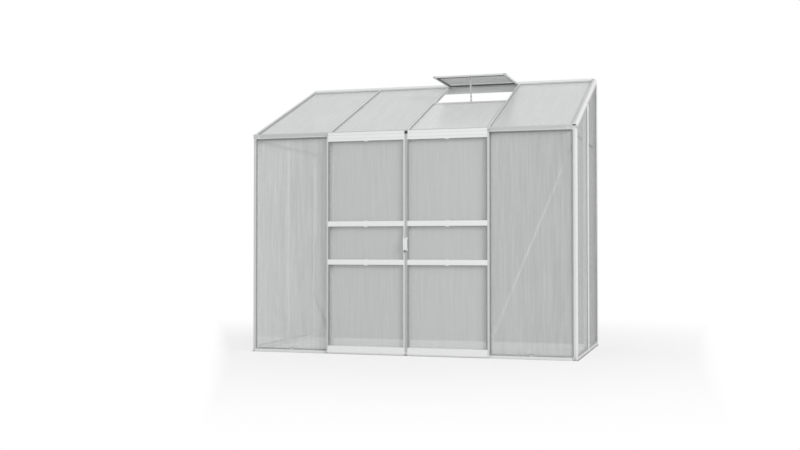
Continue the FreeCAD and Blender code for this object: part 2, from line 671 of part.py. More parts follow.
def track_stops():
    """Blocks astride the track lip that stop the wheels at both ends of their travel."""
    front = TRACK_Y - WALL / 2
    back = TRACK_Y + WALL / 2
    foot = TRACK_UNDER + WALL
    top = TRACK_TOP + STOP_HEIGHT
    outline = [(front - STOP_WALL, TRACK_UNDER), (front, TRACK_UNDER), (front, TRACK_TOP),
               (back, TRACK_TOP), (back, foot), (back + STOP_WALL, foot),
               (back + STOP_WALL, top), (front - STOP_WALL, top)]
    reach = WHEEL_TREAD + WHEEL_FLANGE + STOP_CLEAR
    inner = WHEEL_X[0] - reach
    outer = WHEEL_X[1] + DOOR_TRAVEL + reach
    blocks = [along_x(inner - STOP_LENGTH, inner, outline), along_x(outer, outer + STOP_LENGTH, outline)]
    return group(*blocks, *[mirrored(b) for b in blocks])


def door_lips(start, tip):
    """The two lips that hold a door pane, as (across, y) outlines from a frame member."""
    front = DOOR_PANE - GLAZE_FIT
    back = DOOR_PANE + PANE + GLAZE_FIT
    return [[(start, front - WALL), (tip, front - WALL), (tip, front), (start, front)],
            [(start, back), (tip, back), (tip, back + WALL), (start, back + WALL)]]


def stile(x0, x1, tip):
    """A door stile with its pane channel on the side of tip, notched for the rails."""
    root = x0 if tip < x0 else x1
    outer = [(x0, DOOR_FACE), (x1, DOOR_FACE), (x1, DOOR_BACK), (x0, DOOR_BACK)]
    hollow = [(x0 + WALL, DOOR_FACE + WALL), (x1 - WALL, DOOR_FACE + WALL),
              (x1 - WALL, DOOR_BACK - WALL), (x0 + WALL, DOOR_BACK - WALL)]
    lips = [along_z(STILE_FOOT, STILE_TOP, lip) for lip in door_lips(root, tip)]
    lips = [lip.cut(rail_rooms()) for lip in lips]
    flange = box(x0, x1, DOOR_FACE, DOOR_FACE + WALL, STILE_TOP, STILE_TOP + STILE_FLANGE)
    return joined(along_z(STILE_FOOT, STILE_TOP, outer, hollow), flange, *lips)


def rail_rooms():
    """The rooms that the rails take between the stiles."""
    rooms = []
    for foot, top in rail_spans():
        rooms.append(box(INNER_RAIL_END, OUTER_RAIL_END, DOOR_FACE, DOOR_BACK, foot, top))
    return rooms


def rail_spans():
    """Foot and top of each rail's box: bottom, lower middle, upper middle, top."""
    half = MID_RAIL_FACE / 2
    return [(STILE_FOOT, BOTTOM_RAIL_TOP), (LOWER_MID_RAIL - half, LOWER_MID_RAIL + half),
            (UPPER_MID_RAIL - half, UPPER_MID_RAIL + half), (TOP_RAIL_FOOT, STILE_TOP)]


def rail(foot, top, groove_below, groove_above):
    """A door rail: a box between the stiles, with a pane groove below or above."""
    outer = [(DOOR_FACE, foot), (DOOR_BACK, foot), (DOOR_BACK, top), (DOOR_FACE, top)]
    hollow = [(DOOR_FACE + WALL, foot + WALL), (DOOR_BACK - WALL, foot + WALL),
              (DOOR_BACK - WALL, top - WALL), (DOOR_FACE + WALL, top - WALL)]
    shape = along_x(INNER_RAIL_END, OUTER_RAIL_END, outer, hollow)
    front = DOOR_PANE - GLAZE_FIT
    back = DOOR_PANE + PANE + GLAZE_FIT
    grooves = [(foot, foot + RAIL_GROOVE, 0, WALL)] * groove_below
    grooves += [(top - RAIL_GROOVE, top, WALL, 0)] * groove_above
    for low, high, web_below, web_above in grooves:
        channel = box(INNER_RAIL_END, OUTER_RAIL_END, front - WALL, back + WALL,
                      low - web_below, high + web_above)
        room = box(INNER_RAIL_END, OUTER_RAIL_END, front, back, low, high)
        shape = joined(shape, channel).cut(room)
    return shape


def bottom_rail():
    """Bottom rail, whose face hangs in front of the guide lip."""
    foot, top = rail_spans()[0]
    skirt = [(DOOR_FACE, BOTTOM_RAIL_FOOT), (DOOR_FACE + WALL, BOTTOM_RAIL_FOOT),
             (DOOR_FACE + WALL, foot), (DOOR_FACE, foot)]
    return joined(rail(foot, top, False, True), along_x(LEAF_IN, LEAF_OUT, skirt))


def mid_rails():
    return group(*[rail(foot, top, True, True) for foot, top in rail_spans()[1:3]])


def top_rail():
    """Top rail with the hood that laps over the track and carries the wheels."""
    foot, top = rail_spans()[3]
    inner = DOOR_FACE + WALL
    hood = [(DOOR_FACE, top), (inner, top), (inner, HOOD_TOP - WALL),
            (DOOR_FACE + HOOD_DEPTH, HOOD_TOP - WALL), (DOOR_FACE + HOOD_DEPTH, HOOD_TOP),
            (DOOR_FACE, HOOD_TOP)]
    shape = joined(rail(foot, top, True, False), along_x(INNER_RAIL_END, OUTER_RAIL_END, hood))
    for x in WHEEL_X:
        shape = drilled(shape, (x, DOOR_FACE - 1, WHEEL_Z), vec(0, 1, 0), WALL + 1)
    return shape


def door_panes():
    spans = rail_spans()
    seat = RAIL_GROOVE - EDGE_FIT
    panes = [box(INNER_RAIL_END + EDGE_FIT, OUTER_RAIL_END - EDGE_FIT, DOOR_PANE, DOOR_PANE + PANE,
                 low[1] - seat, high[0] + seat) for low, high in zip(spans, spans[1:])]
    return group(*panes)


def door_handle():
    """A slim pull handle on the meeting stile, close to the other leaf's."""
    x0 = LEAF_IN - HANDLE_OVERHANG
    top = HANDLE_FOOT + HANDLE_HEIGHT
    front = DOOR_FACE - HANDLE_PROUD
    grip = front + HANDLE_BAR
    outline = [(DOOR_FACE, HANDLE_FOOT), (front, HANDLE_FOOT), (front, top), (DOOR_FACE, top),
               (DOOR_FACE, top - HANDLE_END), (grip, top - HANDLE_END),
               (grip, HANDLE_FOOT + HANDLE_END), (DOOR_FACE, HANDLE_FOOT + HANDLE_END)]
    shape = along_x(x0, x0 + HANDLE_WIDTH, outline)
    rounds = [e for e in shape.Edges if e.BoundBox.XLength > WALL and
              abs(e.BoundBox.YMax - front) < WALL / 2]
    return shape.makeFillet(HANDLE_ROUND, rounds)


def door_seal(with_buffer):
    """Rubber strip where the leaves meet, and the round buffer below the handles."""
    strip = box(LEAF_IN - SEAL_THICK, LEAF_IN, DOOR_FACE + SEAL_INSET, DOOR_BACK - SEAL_INSET,
                STILE_FOOT, STILE_TOP)
    if not with_buffer:
        return strip
    x = LEAF_IN + STILE_FACE / 2
    z = HANDLE_FOOT - BUFFER_BELOW
    return group(strip, rod(BUFFER_RADIUS, (x, DOOR_FACE, z), (x, DOOR_FACE - BUFFER_THICK, z)))


def door_guides():
    """Plastic blocks under the bottom rail, astride the guide lip."""
    slot = WALL / 2 + GUIDE_CLEAR
    side = slot + GUIDE_WALL
    foot = STILE_FOOT - GUIDE_BELOW
    roof = GUIDE_LIP + DOOR_CLEAR / 2
    outline = [(-side, foot), (-slot, foot), (-slot, roof), (slot, roof), (slot, foot), (side, foot),
               (side, STILE_FOOT), (-side, STILE_FOOT)]
    placed = [(GUIDE_LIP_Y + a, z) for a, z in outline]
    half = GUIDE_LENGTH / 2
    return group(*[along_x(x - half, x + half, placed) for x in GUIDE_X])


def door_wheel(x):
    """Grooved nylon wheel that runs on the track lip."""
    half = WHEEL_WIDTH / 2
    flange = WHEEL_TREAD + WHEEL_FLANGE
    bore = BOLT_SHANK + RUNNING_FIT
    inner = half - WHEEL_FLANGE
    points = [(-half, bore), (-half, flange), (-inner, WHEEL_TREAD), (inner, WHEEL_TREAD),
              (half, flange), (half, bore)]
    return faceted(points, WHEEL_SIDES, (x, TRACK_Y, WHEEL_Z), vec(0, 1, 0))


def wheel_axles():
    """Axle bolts of one leaf, each with a hexagonal spacer before its wheel and a nut behind it."""
    half = WHEEL_WIDTH / 2 + WHEEL_FIT
    front = TRACK_Y - half
    back = TRACK_Y + half
    axles = []
    for x in WHEEL_X:
        under_head = (x, DOOR_FACE, WHEEL_Z)
        axle = bolt(under_head, vec(0, 1, 0), back - DOOR_FACE)
        spacer = prism(BOLT_HEAD, HEAD_SIDES, (x, DOOR_FACE + WALL, WHEEL_Z), (x, front, WHEEL_Z))
        nut = prism(BOLT_HEAD, HEAD_SIDES, (x, back, WHEEL_Z), (x, back + BOLT_HEAD_HEIGHT, WHEEL_Z))
        axles.append(joined(axle, spacer, nut))
    return group(*axles)


def vent_point(u, w):
    """The (y, z) of a point u out from the hinge and w above it, with the vent level."""
    return (HINGE_Y - u, HINGE_Z + w)


def vent_rail_outline():
    """A vent rail from its outer side inwards, with the pane groove, as (across, w)."""
    groove = [(VENT_RAIL, VENT_GROOVE_UNDER), (VENT_GROOVE, VENT_GROOVE_UNDER),
              (VENT_GROOVE, VENT_GROOVE_TOP), (VENT_RAIL, VENT_GROOVE_TOP)]
    return [(0, VENT_UNDER), (VENT_RAIL, VENT_UNDER)] + groove + [(VENT_RAIL, VENT_TOP), (0, VENT_TOP)]


def vent_rail_hollow():
    inside = VENT_GROOVE - WALL
    return [(WALL, VENT_UNDER + WALL), (inside, VENT_UNDER + WALL), (inside, VENT_TOP - WALL),
            (WALL, VENT_TOP - WALL)]


def vent_side_rails():
    loops = (vent_rail_outline(), vent_rail_hollow())
    y0, _ = vent_point(VENT_LENGTH, 0)
    y1, _ = vent_point(VENT_NECK, 0)
    rails = []
    for side in (-1, 1):
        placed = [[(VENT_X + side * (VENT_HALF - a), HINGE_Z + w) for a, w in loop] for loop in loops]
        rails.append(along_y(y0, y1, *placed))
    return group(*rails)


def vent_cross_rail(start, facing):
    """A vent rail along X. facing is 1 where its groove looks away from the hinge."""
    end = VENT_HALF - VENT_RAIL
    loops = (vent_rail_outline(), vent_rail_hollow())
    placed = [[vent_point(start + facing * a, w) for a, w in loop] for loop in loops]
    return along_x(VENT_X - end, VENT_X + end, *placed)


def vent_top_rail():
    """Top rail with the bead that turns in the ridge's hinge channel."""
    end = VENT_HALF - VENT_RAIL
    bead = rod(HINGE_BEAD, (VENT_X - end, HINGE_Y, HINGE_Z), (VENT_X + end, HINGE_Y, HINGE_Z))
    half = WALL / 2
    neck = [vent_point(0, -half), vent_point(0, half), vent_point(VENT_NECK + half, half),
            vent_point(VENT_NECK + half, -half)]
    return joined(vent_cross_rail(VENT_NECK, 1), bead, along_x(VENT_X - end, VENT_X + end, neck))


def vent_bottom_rail():
    """Bottom rail with the two ears that carry the stay."""
    shape = vent_cross_rail(VENT_LENGTH, -1)
    inner = VENT_LENGTH - VENT_RAIL
    low = VENT_UNDER + GLAZE_FIT
    high = VENT_UNDER + WALL + GLAZE_FIT
    foot = -(PIVOT_DROP + EAR_BELOW)
    ear = [(inner, high), (inner, low), (PIVOT_U + EAR_HALF, low), (PIVOT_U + EAR_HALF, foot),
           (PIVOT_U - EAR_HALF, foot), (PIVOT_U - EAR_HALF, high)]
    outline = [vent_point(u, w) for u, w in ear]
    gap = STAY_WIDTH / 2 + GLAZE_FIT
    ears = [along_x(VENT_X + gap, VENT_X + gap + EAR_THICK, outline),
            along_x(VENT_X - gap - EAR_THICK, VENT_X - gap, outline)]
    pivot = vent_point(PIVOT_U, -PIVOT_DROP)
    hole = rod(PIVOT_PIN + RUNNING_FIT, (VENT_X - 2 * gap, *pivot), (VENT_X + 2 * gap, *pivot))
    return joined(shape, *ears).cut(hole)


def vent_pane():
    side = VENT_HALF - VENT_GROOVE - EDGE_FIT
    u0 = VENT_NECK + VENT_GROOVE + EDGE_FIT
    u1 = VENT_LENGTH - VENT_GROOVE - EDGE_FIT
    w0 = VENT_GROOVE_UNDER + GLAZE_FIT
    w1 = w0 + PANE
    outline = [vent_point(u0, w0), vent_point(u1, w0), vent_point(u1, w1), vent_point(u0, w1)]
    return along_x(VENT_X - side, VENT_X + side, outline)


def vent_stay():
    """Stay that hangs from the ears to the peg, with holes for different openings."""
    y, z = vent_point(PIVOT_U, -PIVOT_DROP)
    half = STAY_WIDTH / 2
    thick = STAY_THICK / 2
    strip = box(VENT_X - half, VENT_X + half, y - thick, y + thick, z - STAY_LENGTH, z)
    eye = rod(STAY_EYE, (VENT_X - half, y, z), (VENT_X + half, y, z))
    reach = half + GLAZE_FIT + EAR_THICK + 1.0
    pin = rod(PIVOT_PIN, (VENT_X - reach, y, z), (VENT_X + reach, y, z))
    holes = []
    for number in range(STAY_HOLES):
        low = z - STAY_LENGTH + STAY_END + number * STAY_HOLE_PITCH
        holes.append(rod(PEG_RADIUS + STAY_HOLE_FIT, (VENT_X, y - STAY_EYE, low),
                         (VENT_X, y + STAY_EYE, low)))
    stay = joined(strip.cut(holes), eye, pin)
    stay.rotate(vec(VENT_X, y, z), vec(1, 0, 0), STAY_LEAN)
    return stay


def frame_nodes():
    """The fixed frame and its glazing."""
    post = corner_post()
    middle = door_post()
    bar = end_bar()
    for at in brace_bolts():
        post = drilled(post, at, vec(0, -1, 0), BRACE_THICK + WALL)
        middle = drilled(middle, at, vec(0, -1, 0), BRACE_THICK + WALL)
    for at in tie_bolts():
        post = drilled(post, at, vec(1, 0, 0), 2 * WALL)
        bar = drilled(bar, at, vec(1, 0, 0), 2 * WALL)
    right = {"corner_post": post, "door_post": middle, "end_bar": bar, "wall_post": wall_post(),
             "end_cill": end_cill(), "end_rafter": end_rafter(), "end_tie": end_tie(),
             "brace": brace(), "front_pane": front_pane(), "end_panes": end_panes()}
    nodes = {}
    for name, shape in right.items():
        nodes["right_" + name] = shape
        nodes["left_" + name] = mirrored(shape)
    nodes["front_cill"] = front_cill()
    nodes["eave_track"] = eave_track()
    nodes["ridge_bar"] = ridge_bar()
    for name, x in (("left", -BAY), ("centre", 0.0), ("right", BAY)):
        nodes[name + "_roof_bar"] = roof_bar(x)
    nodes["roof_panes"] = roof_panes()
    nodes["vent_bay_pane"] = vent_bay_pane()
    nodes["vent_crossbar"] = vent_crossbar()
    nodes["track_stops"] = track_stops()
    nodes["frame_bolts"] = frame_bolts()
    return nodes


def door_nodes():
    """Both leaves. The left one mirrors the right one, apart from its buffer."""
    outer = stile(OUTER_RAIL_END, LEAF_OUT, OUTER_RAIL_END - STILE_LIP)
    meeting = stile(LEAF_IN, INNER_RAIL_END, INNER_RAIL_END + STILE_LIP)
    leaf = {"top_rail": top_rail(), "bottom_rail": bottom_rail(), "mid_rails": mid_rails(),
            "outer_stile": outer, "meeting_stile": meeting, "panes": door_panes(),
            "handle": door_handle(), "guides": door_guides(), "axles": wheel_axles(),
            "seal": door_seal(False), "inner_wheel": door_wheel(WHEEL_X[0]),
            "outer_wheel": door_wheel(WHEEL_X[1])}
    nodes = {}
    for name, shape in leaf.items():
        nodes["right_door_" + name] = shape
        nodes["left_door_" + name] = mirrored(shape)
    nodes["left_door_seal"] = mirrored(door_seal(True))
    return nodes


def vent_nodes():
    return {"vent_top_rail": vent_top_rail(), "vent_bottom_rail": vent_bottom_rail(),
            "vent_side_rails": vent_side_rails(), "vent_pane": vent_pane(), "vent_stay": vent_stay()}


def main():
    os.makedirs("parts", exist_ok=True)
    for name, shape in {**frame_nodes(), **door_nodes(), **vent_nodes()}.items():
        placed = shape.copy()
        placed.translate(vec(0, -Y_MID, 0))
        placed.exportStep("parts/" + name + ".step")


main()
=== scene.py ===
import logging
import math
from dataclasses import dataclass
from enum import Enum
from typing import Dict, List, Tuple, Union

import bmesh
import bpy
from mathutils import Matrix, Vector


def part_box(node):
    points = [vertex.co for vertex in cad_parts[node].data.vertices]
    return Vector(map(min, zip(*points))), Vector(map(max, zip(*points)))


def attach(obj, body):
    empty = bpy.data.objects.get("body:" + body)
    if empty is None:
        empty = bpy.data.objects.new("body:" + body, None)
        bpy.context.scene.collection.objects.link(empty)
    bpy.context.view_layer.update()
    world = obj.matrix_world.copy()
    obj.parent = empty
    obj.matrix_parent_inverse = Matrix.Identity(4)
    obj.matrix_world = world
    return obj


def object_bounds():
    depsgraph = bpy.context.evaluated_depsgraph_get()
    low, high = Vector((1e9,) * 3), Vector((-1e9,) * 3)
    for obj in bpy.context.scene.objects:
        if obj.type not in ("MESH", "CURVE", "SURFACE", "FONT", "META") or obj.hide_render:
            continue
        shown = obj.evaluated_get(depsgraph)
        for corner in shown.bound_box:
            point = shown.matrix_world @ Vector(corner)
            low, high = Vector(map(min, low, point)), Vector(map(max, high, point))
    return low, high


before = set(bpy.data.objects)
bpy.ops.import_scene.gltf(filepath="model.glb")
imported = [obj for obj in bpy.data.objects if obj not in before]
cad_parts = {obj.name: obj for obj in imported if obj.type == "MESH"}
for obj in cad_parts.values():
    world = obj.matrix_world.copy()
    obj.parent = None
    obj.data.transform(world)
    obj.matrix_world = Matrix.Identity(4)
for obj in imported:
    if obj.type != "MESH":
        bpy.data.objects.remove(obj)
CAD_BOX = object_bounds()

# All sizes are in metres. X runs along the wall, Y from the front to the wall and Z upwards.
LOG = logging.getLogger("greenhouse")
Colour = Tuple[float, float, float]
Point = Tuple[float, float, float]
Term = Union["Wire", float, int]
Outline = Tuple[Tuple[float, float], ...]
Settings = Dict[str, object]
Sockets = Dict[Union[str, int], object]

UP = Vector((0.0, 0.0, 1.0)).freeze()
DOWN = Vector((0.0, 0.0, -1.0)).freeze()
FORWARD = Vector((0.0, -1.0, 0.0)).freeze()
BACK = Vector((0.0, 1.0, 0.0)).freeze()
RIGHT = Vector((1.0, 0.0, 0.0)).freeze()

COAT_TINT = (0.0, 0.005, 0.005)
SHEET_TINT = (0.0, 0.020, 0.012)
RUBBER_TINT = (0.0, 0.005, 0.0)
NYLON_TINT = (0.0, 0.0, 0.002)
PAINT_INDEX = 1.5
SHEET_INDEX = 1.58


class Side(Enum):
    """The two door leaves, and the fixed halves of the front beside them."""

    LEFT = -1
    RIGHT = 1

    @property
    def outwards(self) -> Vector:
        """The direction from the middle towards this side."""
        return RIGHT * self.value

    def node(self, piece: str) -> str:
        """The name of a piece's node on this side."""
        return f"{self.name.lower()}_{piece}"


class Across(Enum):
    """The direction in which a pane's flutes follow each other."""

    ALONG_WALL = 0
    FROM_WALL = 1


def reach(node: str) -> Tuple[float, float]:
    """How near to the middle of the wall a node comes, and how far from it.

    Args:
        node: the node's name. It lies on one side of the middle.

    Returns:
        The smaller and the larger distance.
    """
    low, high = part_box(node)
    near, far = sorted((abs(low.x), abs(high.x)))
    return near, far


def tinted(value: float, tint: Colour) -> Colour:
    """A grey between zero and one, with a faint tint added to its red, green and blue."""
    red, green, blue = (value + part for part in tint)
    return red, green, blue


class Wire:
    """The output of a shader node, which takes part in sums."""

    def __init__(self, shader: "Shader", socket: bpy.types.NodeSocket) -> None:
        """Keep the output and the shader that it belongs to."""
        self.shader = shader
        self.socket = socket

    def maths(self, operation: str, first: Term, second: Term = 0.0) -> "Wire":
        """The output of a new Math node with this operation and these two values or links."""
        node = self.shader.node("ShaderNodeMath", {"operation": operation}, {0: first, 1: second})
        return Wire(self.shader, node.outputs[0])

    def __add__(self, other: Term) -> "Wire":
        """Sum, also with a number on the left."""
        return self.maths("ADD", self, other)

    __radd__ = __add__

    def __sub__(self, other: Term) -> "Wire":
        """Difference."""
        return self.maths("SUBTRACT", self, other)

    def __rsub__(self, other: Term) -> "Wire":
        """Difference from a number."""
        return self.maths("SUBTRACT", other, self)

    def __mul__(self, other: Term) -> "Wire":
        """Product, also with a number on the left."""
        return self.maths("MULTIPLY", self, other)

    __rmul__ = __mul__

    def __truediv__(self, other: Term) -> "Wire":
        """Quotient."""
        return self.maths("DIVIDE", self, other)

    def __gt__(self, other: Term) -> "Wire":
        """One where this is the larger, and otherwise zero."""
        return self.maths("GREATER_THAN", self, other)

    def largest(self, other: Term) -> "Wire":
        """The larger of the two."""
        return self.maths("MAXIMUM", self, other)

    def power(self, other: Term) -> "Wire":
        """This raised to the other."""
        return self.maths("POWER", self, other)

    def fraction(self) -> "Wire":
        """What follows the point."""
        return self.maths("FRACT", self)

    def absolute(self) -> "Wire":
        """This without its sign."""
        return self.maths("ABSOLUTE", self)

    def step(self, start: float, end: float) -> "Wire":
        """A smooth rise.

        Args:
            start: where it leaves zero.
            end: where it reaches one.

        Returns:
            The height of the rise at this value.
        """
        node = self.shader.node(
            "ShaderNodeMapRange",
            {"interpolation_type": "SMOOTHSTEP"},
            {"Value": self, "From Min": start, "From Max": end},
        )
        return Wire(self.shader, node.outputs[0])


class Shader:
    """A node tree, and the few ways in which nodes are added to it."""

    def __init__(self, tree: bpy.types.NodeTree) -> None:
        """Empty the tree."""
        self.tree = tree
        tree.nodes.clear()

    def node(self, kind: str, settings: Settings, sockets: Sockets) -> bpy.types.Node:
        """Add a node.

        Args:
            kind: the node's type.
            settings: what is set on the node, first.
            sockets: the values or links of its inputs, by name or number.

        Returns:
            The node.
        """
        node = self.tree.nodes.new(kind)
        for name, value in settings.items():
            setattr(node, name, value)
        for name, value in sockets.items():
            if isinstance(value, Wire):
                self.tree.links.new(value.socket, node.inputs[name])
            elif isinstance(value, bpy.types.NodeSocket):
                self.tree.links.new(value, node.inputs[name])
            elif isinstance(value, tuple) and len(value) == 3 and node.inputs[name].type == "RGBA":
                node.inputs[name].default_value = (*value, 1.0)
            else:
                node.inputs[name].default_value = value
        return node

    def out(self, node: bpy.types.Node, output: Union[str, int] = 0) -> Wire:
        """A node's output as a wire."""
        return Wire(self, node.outputs[output])

    def place(self) -> Tuple[Wire, Wire, Wire]:
        """Where on the surface a point lies.

        Returns:
            Its x, y and z in metres.
        """
        source = self.node("ShaderNodeTexCoord", {}, {})
        parts = self.node("ShaderNodeSeparateXYZ", {}, {0: source.outputs["Object"]})
        return self.out(parts, 0), self.out(parts, 1), self.out(parts, 2)

    def noise(
        self, scale: float, detail: float = 2.0, roughness: float = 0.5, stretch: Point = (1.0, 1.0, 1.0)
    ) -> Wire:
        """Soft random variation between zero and one.

        Args:
            scale: how many changes there are in a metre.
            detail: how many finer layers are added.
            roughness: how strong the finer layers are.
            stretch: a factor on the scale for each direction.

        Returns:
            The variation.
        """
        source = self.node("ShaderNodeTexCoord", {}, {})
        turned = self.node("ShaderNodeMapping", {}, {"Vector": source.outputs["Object"], "Scale": stretch})
        sockets = {"Vector": turned.outputs[0], "Scale": scale, "Detail": detail, "Roughness": roughness}
        return self.out(self.node("ShaderNodeTexNoise", {}, sockets))

    def blend(self, share: Term, first: Union[Wire, Colour], second: Union[Wire, Colour]) -> Wire:
        """Two colours mixed: the first where the share is zero, and the second where it is one."""
        node = self.node("ShaderNodeMix", {"data_type": "RGBA"}, {0: share, 6: first, 7: second})
        return self.out(node, 2)

    def shade(self, colour: Wire, strength: Wire) -> Wire:
        """A colour times a number."""
        node = self.node("ShaderNodeVectorMath", {"operation": "SCALE"}, {0: colour, "Scale": strength})
        return self.out(node)

    def bump(self, height: Wire, depth: float) -> Wire:
        """The normal of a relief, from its height between zero and one and its depth in metres."""
        node = self.node("ShaderNodeBump", {}, {"Strength": 1.0, "Distance": depth, "Height": height})
        return self.out(node)

    def sight(self) -> Tuple[Wire, Wire]:
        """What looks at the surface.

        Returns:
            One for the camera, also by way of a mirror or a lens, and one where a pane lies between.
        """
        path = self.node("ShaderNodeLightPath", {}, {})
        seen = self.out(path, "Is Camera Ray").largest(self.out(path, "Is Glossy Ray"))
        seen = seen.largest(self.out(path, "Is Transmission Ray"))
        return seen, self.out(path, "Transparent Depth") > 0.5

    def surface(self, sockets: Sockets) -> None:
        """End the tree in a Principled surface with these sockets."""
        body = self.node("ShaderNodeBsdfPrincipled", {}, sockets)
        self.node("ShaderNodeOutputMaterial", {}, {"Surface": body.outputs[0]})


def new_material(name: str) -> Tuple[bpy.types.Material, Shader]:
    """Start a material.

    Args:
        name: its name.

    Returns:
        The material with an empty tree, and the shader that fills it.
    """
    material = bpy.data.materials.new(name)
    material.use_nodes = True
    return material, Shader(material.node_tree)


@dataclass(frozen=True)
class PowderCoat:
    """White powder coat on aluminium: fine orange peel, and a little dust near the ground."""

    name: str
    light: float
    dark: float
    dust: Colour = (0.52, 0.51, 0.49)
    dust_foot: float = 0.002
    dust_head: float = 0.03
    dust_cover: float = 0.3
    dust_patches: Tuple[float, float] = (0.42, 0.75)
    dust_roughness: float = 0.4
    clouds_per_metre: float = 2.6
    lines_per_metre: float = 30.0
    grains_per_metre: float = 240.0
    peel_per_metre: float = 1100.0
    peel_depth: float = 0.00006
    roughness: float = 0.34

    def make(self) -> bpy.types.Material:
        """Build the finish.

        Returns:
            Its material.
        """
        material, shader = new_material(self.name)
        z = shader.place()[2]
        cloud = shader.noise(self.clouds_per_metre, 3.0)
        drawn = shader.noise(self.lines_per_metre, 3.0, 0.6)
        grains = shader.noise(self.grains_per_metre, 4.0, 0.65)
        low = 1 - z.step(self.dust_foot, self.dust_head)
        dusty = low * grains.step(*self.dust_patches) * self.dust_cover
        tone = cloud * 0.6 + drawn * 0.4
        colour = shader.blend(tone, tinted(self.dark, COAT_TINT), tinted(self.light, COAT_TINT))
        peel = shader.noise(self.peel_per_metre)
        shader.surface(
            {
                "Base Color": shader.blend(dusty, colour, self.dust),
                "Roughness": self.roughness + (grains - 0.5) * 0.08 + dusty * self.dust_roughness,
                "Normal": shader.bump(peel, self.peel_depth),
                "IOR": PAINT_INDEX,
            }
        )
        return material


@dataclass(frozen=True)
class TwinWall:
    """Twin-wall polycarbonate: two clear skins with ribs between them, so that it is milky."""

    name: str
    across: Across
    dark: float
    light: float
    cover: float
    gloss: float = 0.35
    # This slope darkens the colour along the direction in which the flutes follow each other: painted shade.
    painted_shade_slope: float = 0.0
    streaks: float = 0.10
    pitch: float = 0.006
    rib: float = 0.22
    rib_light: float = 1.05
    rib_cover: float = 0.05
    rib_share: float = 0.6
    flute_depth: float = 0.00012
    narrow: float = 40.0
    long: float = 2.0
    streaks_per_metre: float = 1.4
    clouds_per_metre: float = 1.7
    scuffs_per_metre: float = 90.0
    flutes_before: float = 100.0
    roughness: float = 0.18

    def make(self) -> bpy.types.Material:
        """Build the finish.

        Returns:
            Its material.
        """
        material, shader = new_material(self.name)
        place = shader.place()[self.across.value]
        flute = (place / self.pitch + self.flutes_before).fraction()
        rib = (flute - 0.5).absolute().step(0.5 - self.rib, 0.5)
        along_wall = (self.narrow, self.long, self.long)
        from_wall = (self.long, self.narrow, self.long)
        run = along_wall if self.across is Across.ALONG_WALL else from_wall
        streak = shader.noise(self.streaks_per_metre, 4.0, 0.6, run)
        cloud = shader.noise(self.clouds_per_metre)
        scuff = shader.noise(self.scuffs_per_metre, 4.0, 0.7)
        tone = (streak * 0.5 + cloud * 0.5).step(0.25, 0.75)
        light = tinted(self.light, SHEET_TINT)
        colour = shader.blend(tone, tinted(self.dark, SHEET_TINT), light)
        colour = shader.blend(rib * self.rib_share, colour, tuple(part * self.rib_light for part in light))
        shader.surface(
            {
                # The colour grows darker across the pane by that slope: painted shade.
                "Base Color": shader.shade(colour, 1 - place * self.painted_shade_slope + (streak - 0.5) * self.streaks),
                "Roughness": self.roughness + (scuff - 0.5) * 0.10 + rib * 0.08,
                "Alpha": self.cover + rib * self.rib_cover + (streak - 0.5) * 0.04,
                "Normal": shader.bump(1 - rib, self.flute_depth),
                "IOR": SHEET_INDEX,
                "Specular IOR Level": self.gloss,
            }
        )
        return material


@dataclass(frozen=True)
class Moulding:
    """A moulded or painted finish: rubber, nylon, a clip or a soft gasket, by its settings.

    Its grains are counted in a metre, and their relief is a depth in metres.
    """

    name: str
    fresh: float
    worn: float
    roughness: float = 0.55
    grains: float = 800.0
    relief: float = 3e-5
    tint: Colour = RUBBER_TINT
    clouds_per_metre: float = 35.0

    def wear(self, cloud: Wire, grain: Wire) -> Wire:
        """How worn the surface is, in patches."""
        return (cloud * 0.7 + grain * 0.3).step(0.35, 0.8)

    def colour(self, shader: Shader, wear: Wire) -> Wire:
        """The colour between fresh and worn."""
        return shader.blend(wear, tinted(self.fresh, self.tint), tinted(self.worn, self.tint))

    def make(self) -> bpy.types.Material:
        """Build the finish.

        Returns:
            Its material.
        """
        material, shader = new_material(self.name)
        cloud = shader.noise(self.clouds_per_metre, 3.0)
        grain = shader.noise(self.grains, 3.0, 0.6)
        shader.surface(
            {
                "Base Color": self.colour(shader, self.wear(cloud, grain)),
                "Roughness": self.roughness + (grain - 0.5) * 0.16,
                "Normal": shader.bump(grain, self.relief),
                "IOR": PAINT_INDEX,
            }
        )
        return material


@dataclass(frozen=True)
class SealRubber(Moulding):
    """Grey rubber where the leaves meet, and black where it stands proud as a buffer."""

    buffer: Colour = (0.035, 0.035, 0.036)
    buffer_front: float = -0.6688

    def wear(self, cloud: Wire, grain: Wire) -> Wire:
        """How worn the rubber is, without patches."""
        return cloud * 0.6 + grain * 0.4

    def colour(self, shader: Shader, wear: Wire) -> Wire:
        """The buffer's black in front, and behind it the colour between fresh and worn."""
        in_front = 1 - (shader.place()[1] > self.buffer_front)
        return shader.blend(in_front, super().colour(shader, wear), self.buffer)


@dataclass(frozen=True)
class ZincSteel:
    """Zinc-plated steel with its faint spangle and turning marks."""

    name: str = "zinc_plated_steel"
    colour: Colour = (0.60, 0.61, 0.62)
    dull: Colour = (0.42, 0.43, 0.44)
    cells_per_metre: float = 420.0
    scratches_per_metre: float = 900.0
    scratch_depth: float = 0.00002
    polished: float = 0.30
    scratched: float = 0.22

    def make(self) -> bpy.types.Material:
        """Build the finish.

        Returns:
            Its material.
        """
        material, shader = new_material(self.name)
        source = shader.node("ShaderNodeTexCoord", {}, {})
        sockets = {"Vector": source.outputs["Object"], "Scale": self.cells_per_metre}
        cells = shader.out(shader.node("ShaderNodeTexVoronoi", {}, sockets), "Distance")
        scratch = shader.noise(self.scratches_per_metre, 3.0, 0.7)
        shader.surface(
            {
                "Base Color": shader.blend(cells * 0.7 + scratch * 0.3, self.dull, self.colour),
                "Metallic": 1.0,
                "Roughness": self.polished + scratch * self.scratched,
                "Normal": shader.bump(scratch, self.scratch_depth),
            }
        )
        return material


